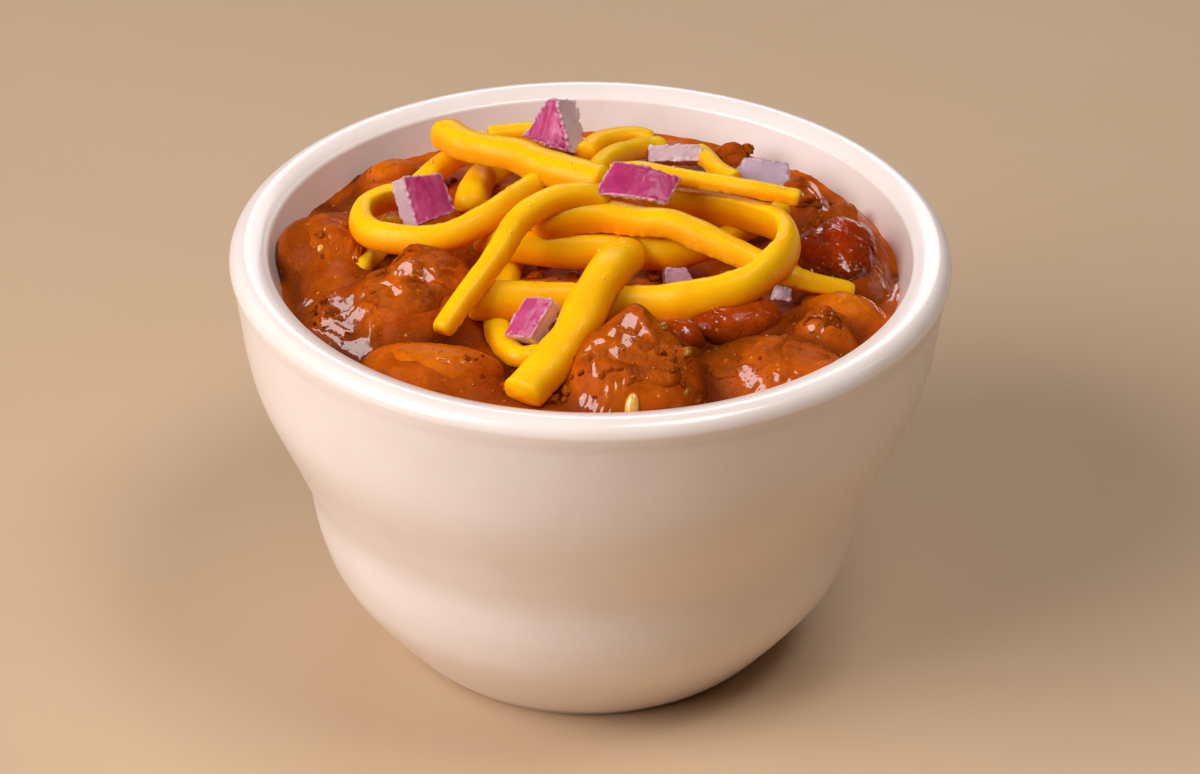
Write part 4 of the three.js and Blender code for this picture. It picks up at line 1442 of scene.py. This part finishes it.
def highest(trees, x, y):
    """Place in mm and direction of the topmost surface, or None."""
    best = None
    for tree in trees:
        place, facing = tree.ray_cast(Vector((x, y, ABOVE)) * MM, DOWN)[:2]
        if place is not None and (best is None or place.z > best[0].z):
            best = (place, facing)
    return best and (np.array(best[0]) / MM, np.array(best[1]))


food = surfaces("_lump", "chili_sauce")
strands = surfaces("_strand")
print("surfaces to lay things on:", len(food), "of chili and", len(strands), "of cheese")


# %% Making bits
BIT_BALLS = {detail: ball(detail) for detail in (1, 2, 3)}


def one_bit(place, facing, size, flat=0.6, long=1.0, rough=0.2, sink=0.3, detail=2, turn=None):
    """Points and faces of a bit that lies on a surface. Size is its half width in mm, flat and
    long are shares of that, sink is the share of its height that is below the surface, and its
    long side points along turn, or anywhere."""
    direction, faces = BIT_BALLS[detail]
    along = randoms.normal(size=3) if turn is None else np.array(turn, float)
    along -= facing * (along @ facing)
    along /= np.linalg.norm(along)
    relief = 1 + rough * layered(direction + randoms.random(3) * 50, 0.7, 2, 5)
    shape = direction * relief[:, None] * (size * long, size, size * flat)
    axes = np.array([along, np.cross(facing, along), facing])
    return shape @ axes + place + facing * size * flat * (1 - 2 * sink), faces


def join_bits(name, bits, material, slot, **values):
    """Makes one piece of many bits, all with the same mesh values."""
    points = np.vstack([p for p, _ in bits])
    starts = np.cumsum([0] + [len(p) for p, _ in bits])
    faces = []
    for (_, shape), start in zip(bits, starts):
        faces += [tuple(i + start for i in face) for face in shape]
    carried = {title: np.full(len(points), value) for title, value in values.items()}
    make_piece(name, points, faces, material, values=carried)


def random_places(trees, count, reach, spots=()):
    """Places spread over the food, or gathered round spots of x, y, reach and count."""
    places = []
    angle, share = randoms.random(count) * 2 * np.pi, np.sqrt(randoms.random(count))
    spread = list(zip(reach * share * np.cos(angle), reach * share * np.sin(angle)))
    for x, y, near, number in spots:
        spread += [tuple(p) for p in randoms.normal((x, y), near / 2, size=(number, 2))]
    for x, y in spread:
        found = highest(trees, x, y)
        if found and math.hypot(x, y) < reach:
            places.append(found)
    return places


def scatter(places, least, extra, bunched, **form):
    """A bit on each place, least to least + extra mm in size. The more bunched, the more of them
    are small."""
    bits = []
    for place, facing in places:
        size = least + extra * randoms.random() ** bunched
        bits.append(one_bit(place, facing, size, **form))
    return bits


def small_look(name, size, dark, light, colors=None, **sockets):
    """A material in two tones that drift in patches of size mm. With colors, light gets in."""
    material, tree, shader = new_material(name, **sockets)
    tone = use_group(tree, patches, size=size, spread=0.3, dark=dark, light=light)
    feed(tree, shader["Base Color"], tone["Color"])
    if colors:
        let_light_in(tree, shader, share=0.3, depth=0.8, colors=colors)
    return material


# %% Beef crumbs
CRUMB_SPOTS = [  # x, y, reach in mm and count
    (-2.8, -34, 3, 9), (12, -34, 4, 8), (0, -7, 8, 12), (24, 24, 6, 8), (-22, 22, 6, 8),
    (6, 22, 1.5, 6),
]
tomato_middle, tomato_reach = LUMPS["tomato"]["at"][:2], LUMPS["tomato"]["reach"][1]
off_tomato = [
    (place, facing)
    for place, facing in random_places(food, 50, 40, CRUMB_SPOTS)
    if math.dist(place[:2], tomato_middle) > tomato_reach
]
crumbs = scatter(
    off_tomato, least=0.35, extra=0.55, bunched=2, flat=0.75, rough=0.5, sink=0.4, detail=3
)
join_bits("beef_crumbs", crumbs, beef_look, "meat", hollow=0.3, wet=0.6)

# %% Chili flakes
flake_look = small_look(
    "chili_flake", size=0.8, dark="#641403", light="#a83806", Roughness=0.6, Specular_IOR_Level=0.1
)
flake_places = random_places(food, 150, 40)
flakes = scatter(
    flake_places, least=0.12, extra=0.18, bunched=1, flat=0.3, long=1.5, rough=0.4, sink=0.45
)
join_bits("chili_flakes", flakes, flake_look, "meat")

# %% Beads of fat
fat_look = sauced("orange_fat", "#c85206", "#e08010", "#8a2c02", size=1.0, rough=0.25, glow=0.3)
FAT_SPOTS = [  # x, y, reach in mm and count
    (12.4, -34, 3, 40), (33, -3, 3, 14), (21, -17.5, 1.4, 34), (16, -20, 1.2, 26), (-33, -4, 3, 18),
    (5, -34, 4, 30), (22, -31, 4, 24), (31, -20, 2, 16), (31, 14, 4, 26), (-18, -30, 3, 8),
]
bead_places = random_places(food, 260, 41, FAT_SPOTS)
beads = scatter(
    bead_places, least=0.07, extra=0.17, bunched=2, flat=0.5, rough=0.0, sink=0.35, detail=1
)
join_bits("fat_beads", beads, fat_look, "sauce", hollow=0.2, wet=1.5)

# %% Seeds
seed_look = small_look(
    "pale_seed", size=1.4, dark="#d98a1c", light="#f0c060", colors=(1.0, 0.6, 0.25),
    Roughness=0.35, Coat_Weight=0.8, Coat_Roughness=0.08,
)
SEEDS = [  # x, y, half width in mm, and length as a share of width
    (5.5, -38.6, 0.95, 2.1), (-36.4, -4.4, 0.45, 1.3), (17.4, 33.4, 0.5, 1.3),
]
SEED_FORM = dict(flat=0.7, rough=0.05, sink=0.6, detail=3, turn=(0.1, 0.5, 1))
seeds = [
    one_bit(*highest(food, x, y), size, long=long, **SEED_FORM) for x, y, size, long in SEEDS
]
join_bits("pale_seeds", seeds, seed_look, "bean")

# %% Bits of pepper
pepper_look = small_look(
    "green_pepper", size=1.6, dark="#8a4c04", light="#b07a10", colors=(0.8, 0.7, 0.1),
    Roughness=0.35, Coat_Weight=0.3, Coat_Roughness=0.1,
)
PEPPERS = [  # x, y and half width in mm
    (12.6, -31.4, 0.6), (12.6, -35.2, 0.5), (9.6, -27.2, 0.6), (-24, 26, 0.6), (24.8, 17, 0.6),
    (-0.6, -33, 0.4),
]
peppers = [
    one_bit(*highest(food, x, y), size, long=1.5, rough=0.35, sink=0.55, detail=3)
    for x, y, size in PEPPERS
]
join_bits("pepper_bits", peppers, pepper_look, "onion")

# %% Cheese crumbs
crumb_look = small_look(
    "pale_crumb", size=0.5, dark="#ffd048", light="#ffe27c", Roughness=0.6, Specular_IOR_Level=0.2
)
crumb_places = random_places(strands, 90, 34)
cheese_crumbs = scatter(
    crumb_places, least=0.09, extra=0.14, bunched=1, flat=0.8, rough=0.35, sink=0.2, detail=1
)
join_bits("cheese_crumbs", cheese_crumbs, crumb_look, "cheese")
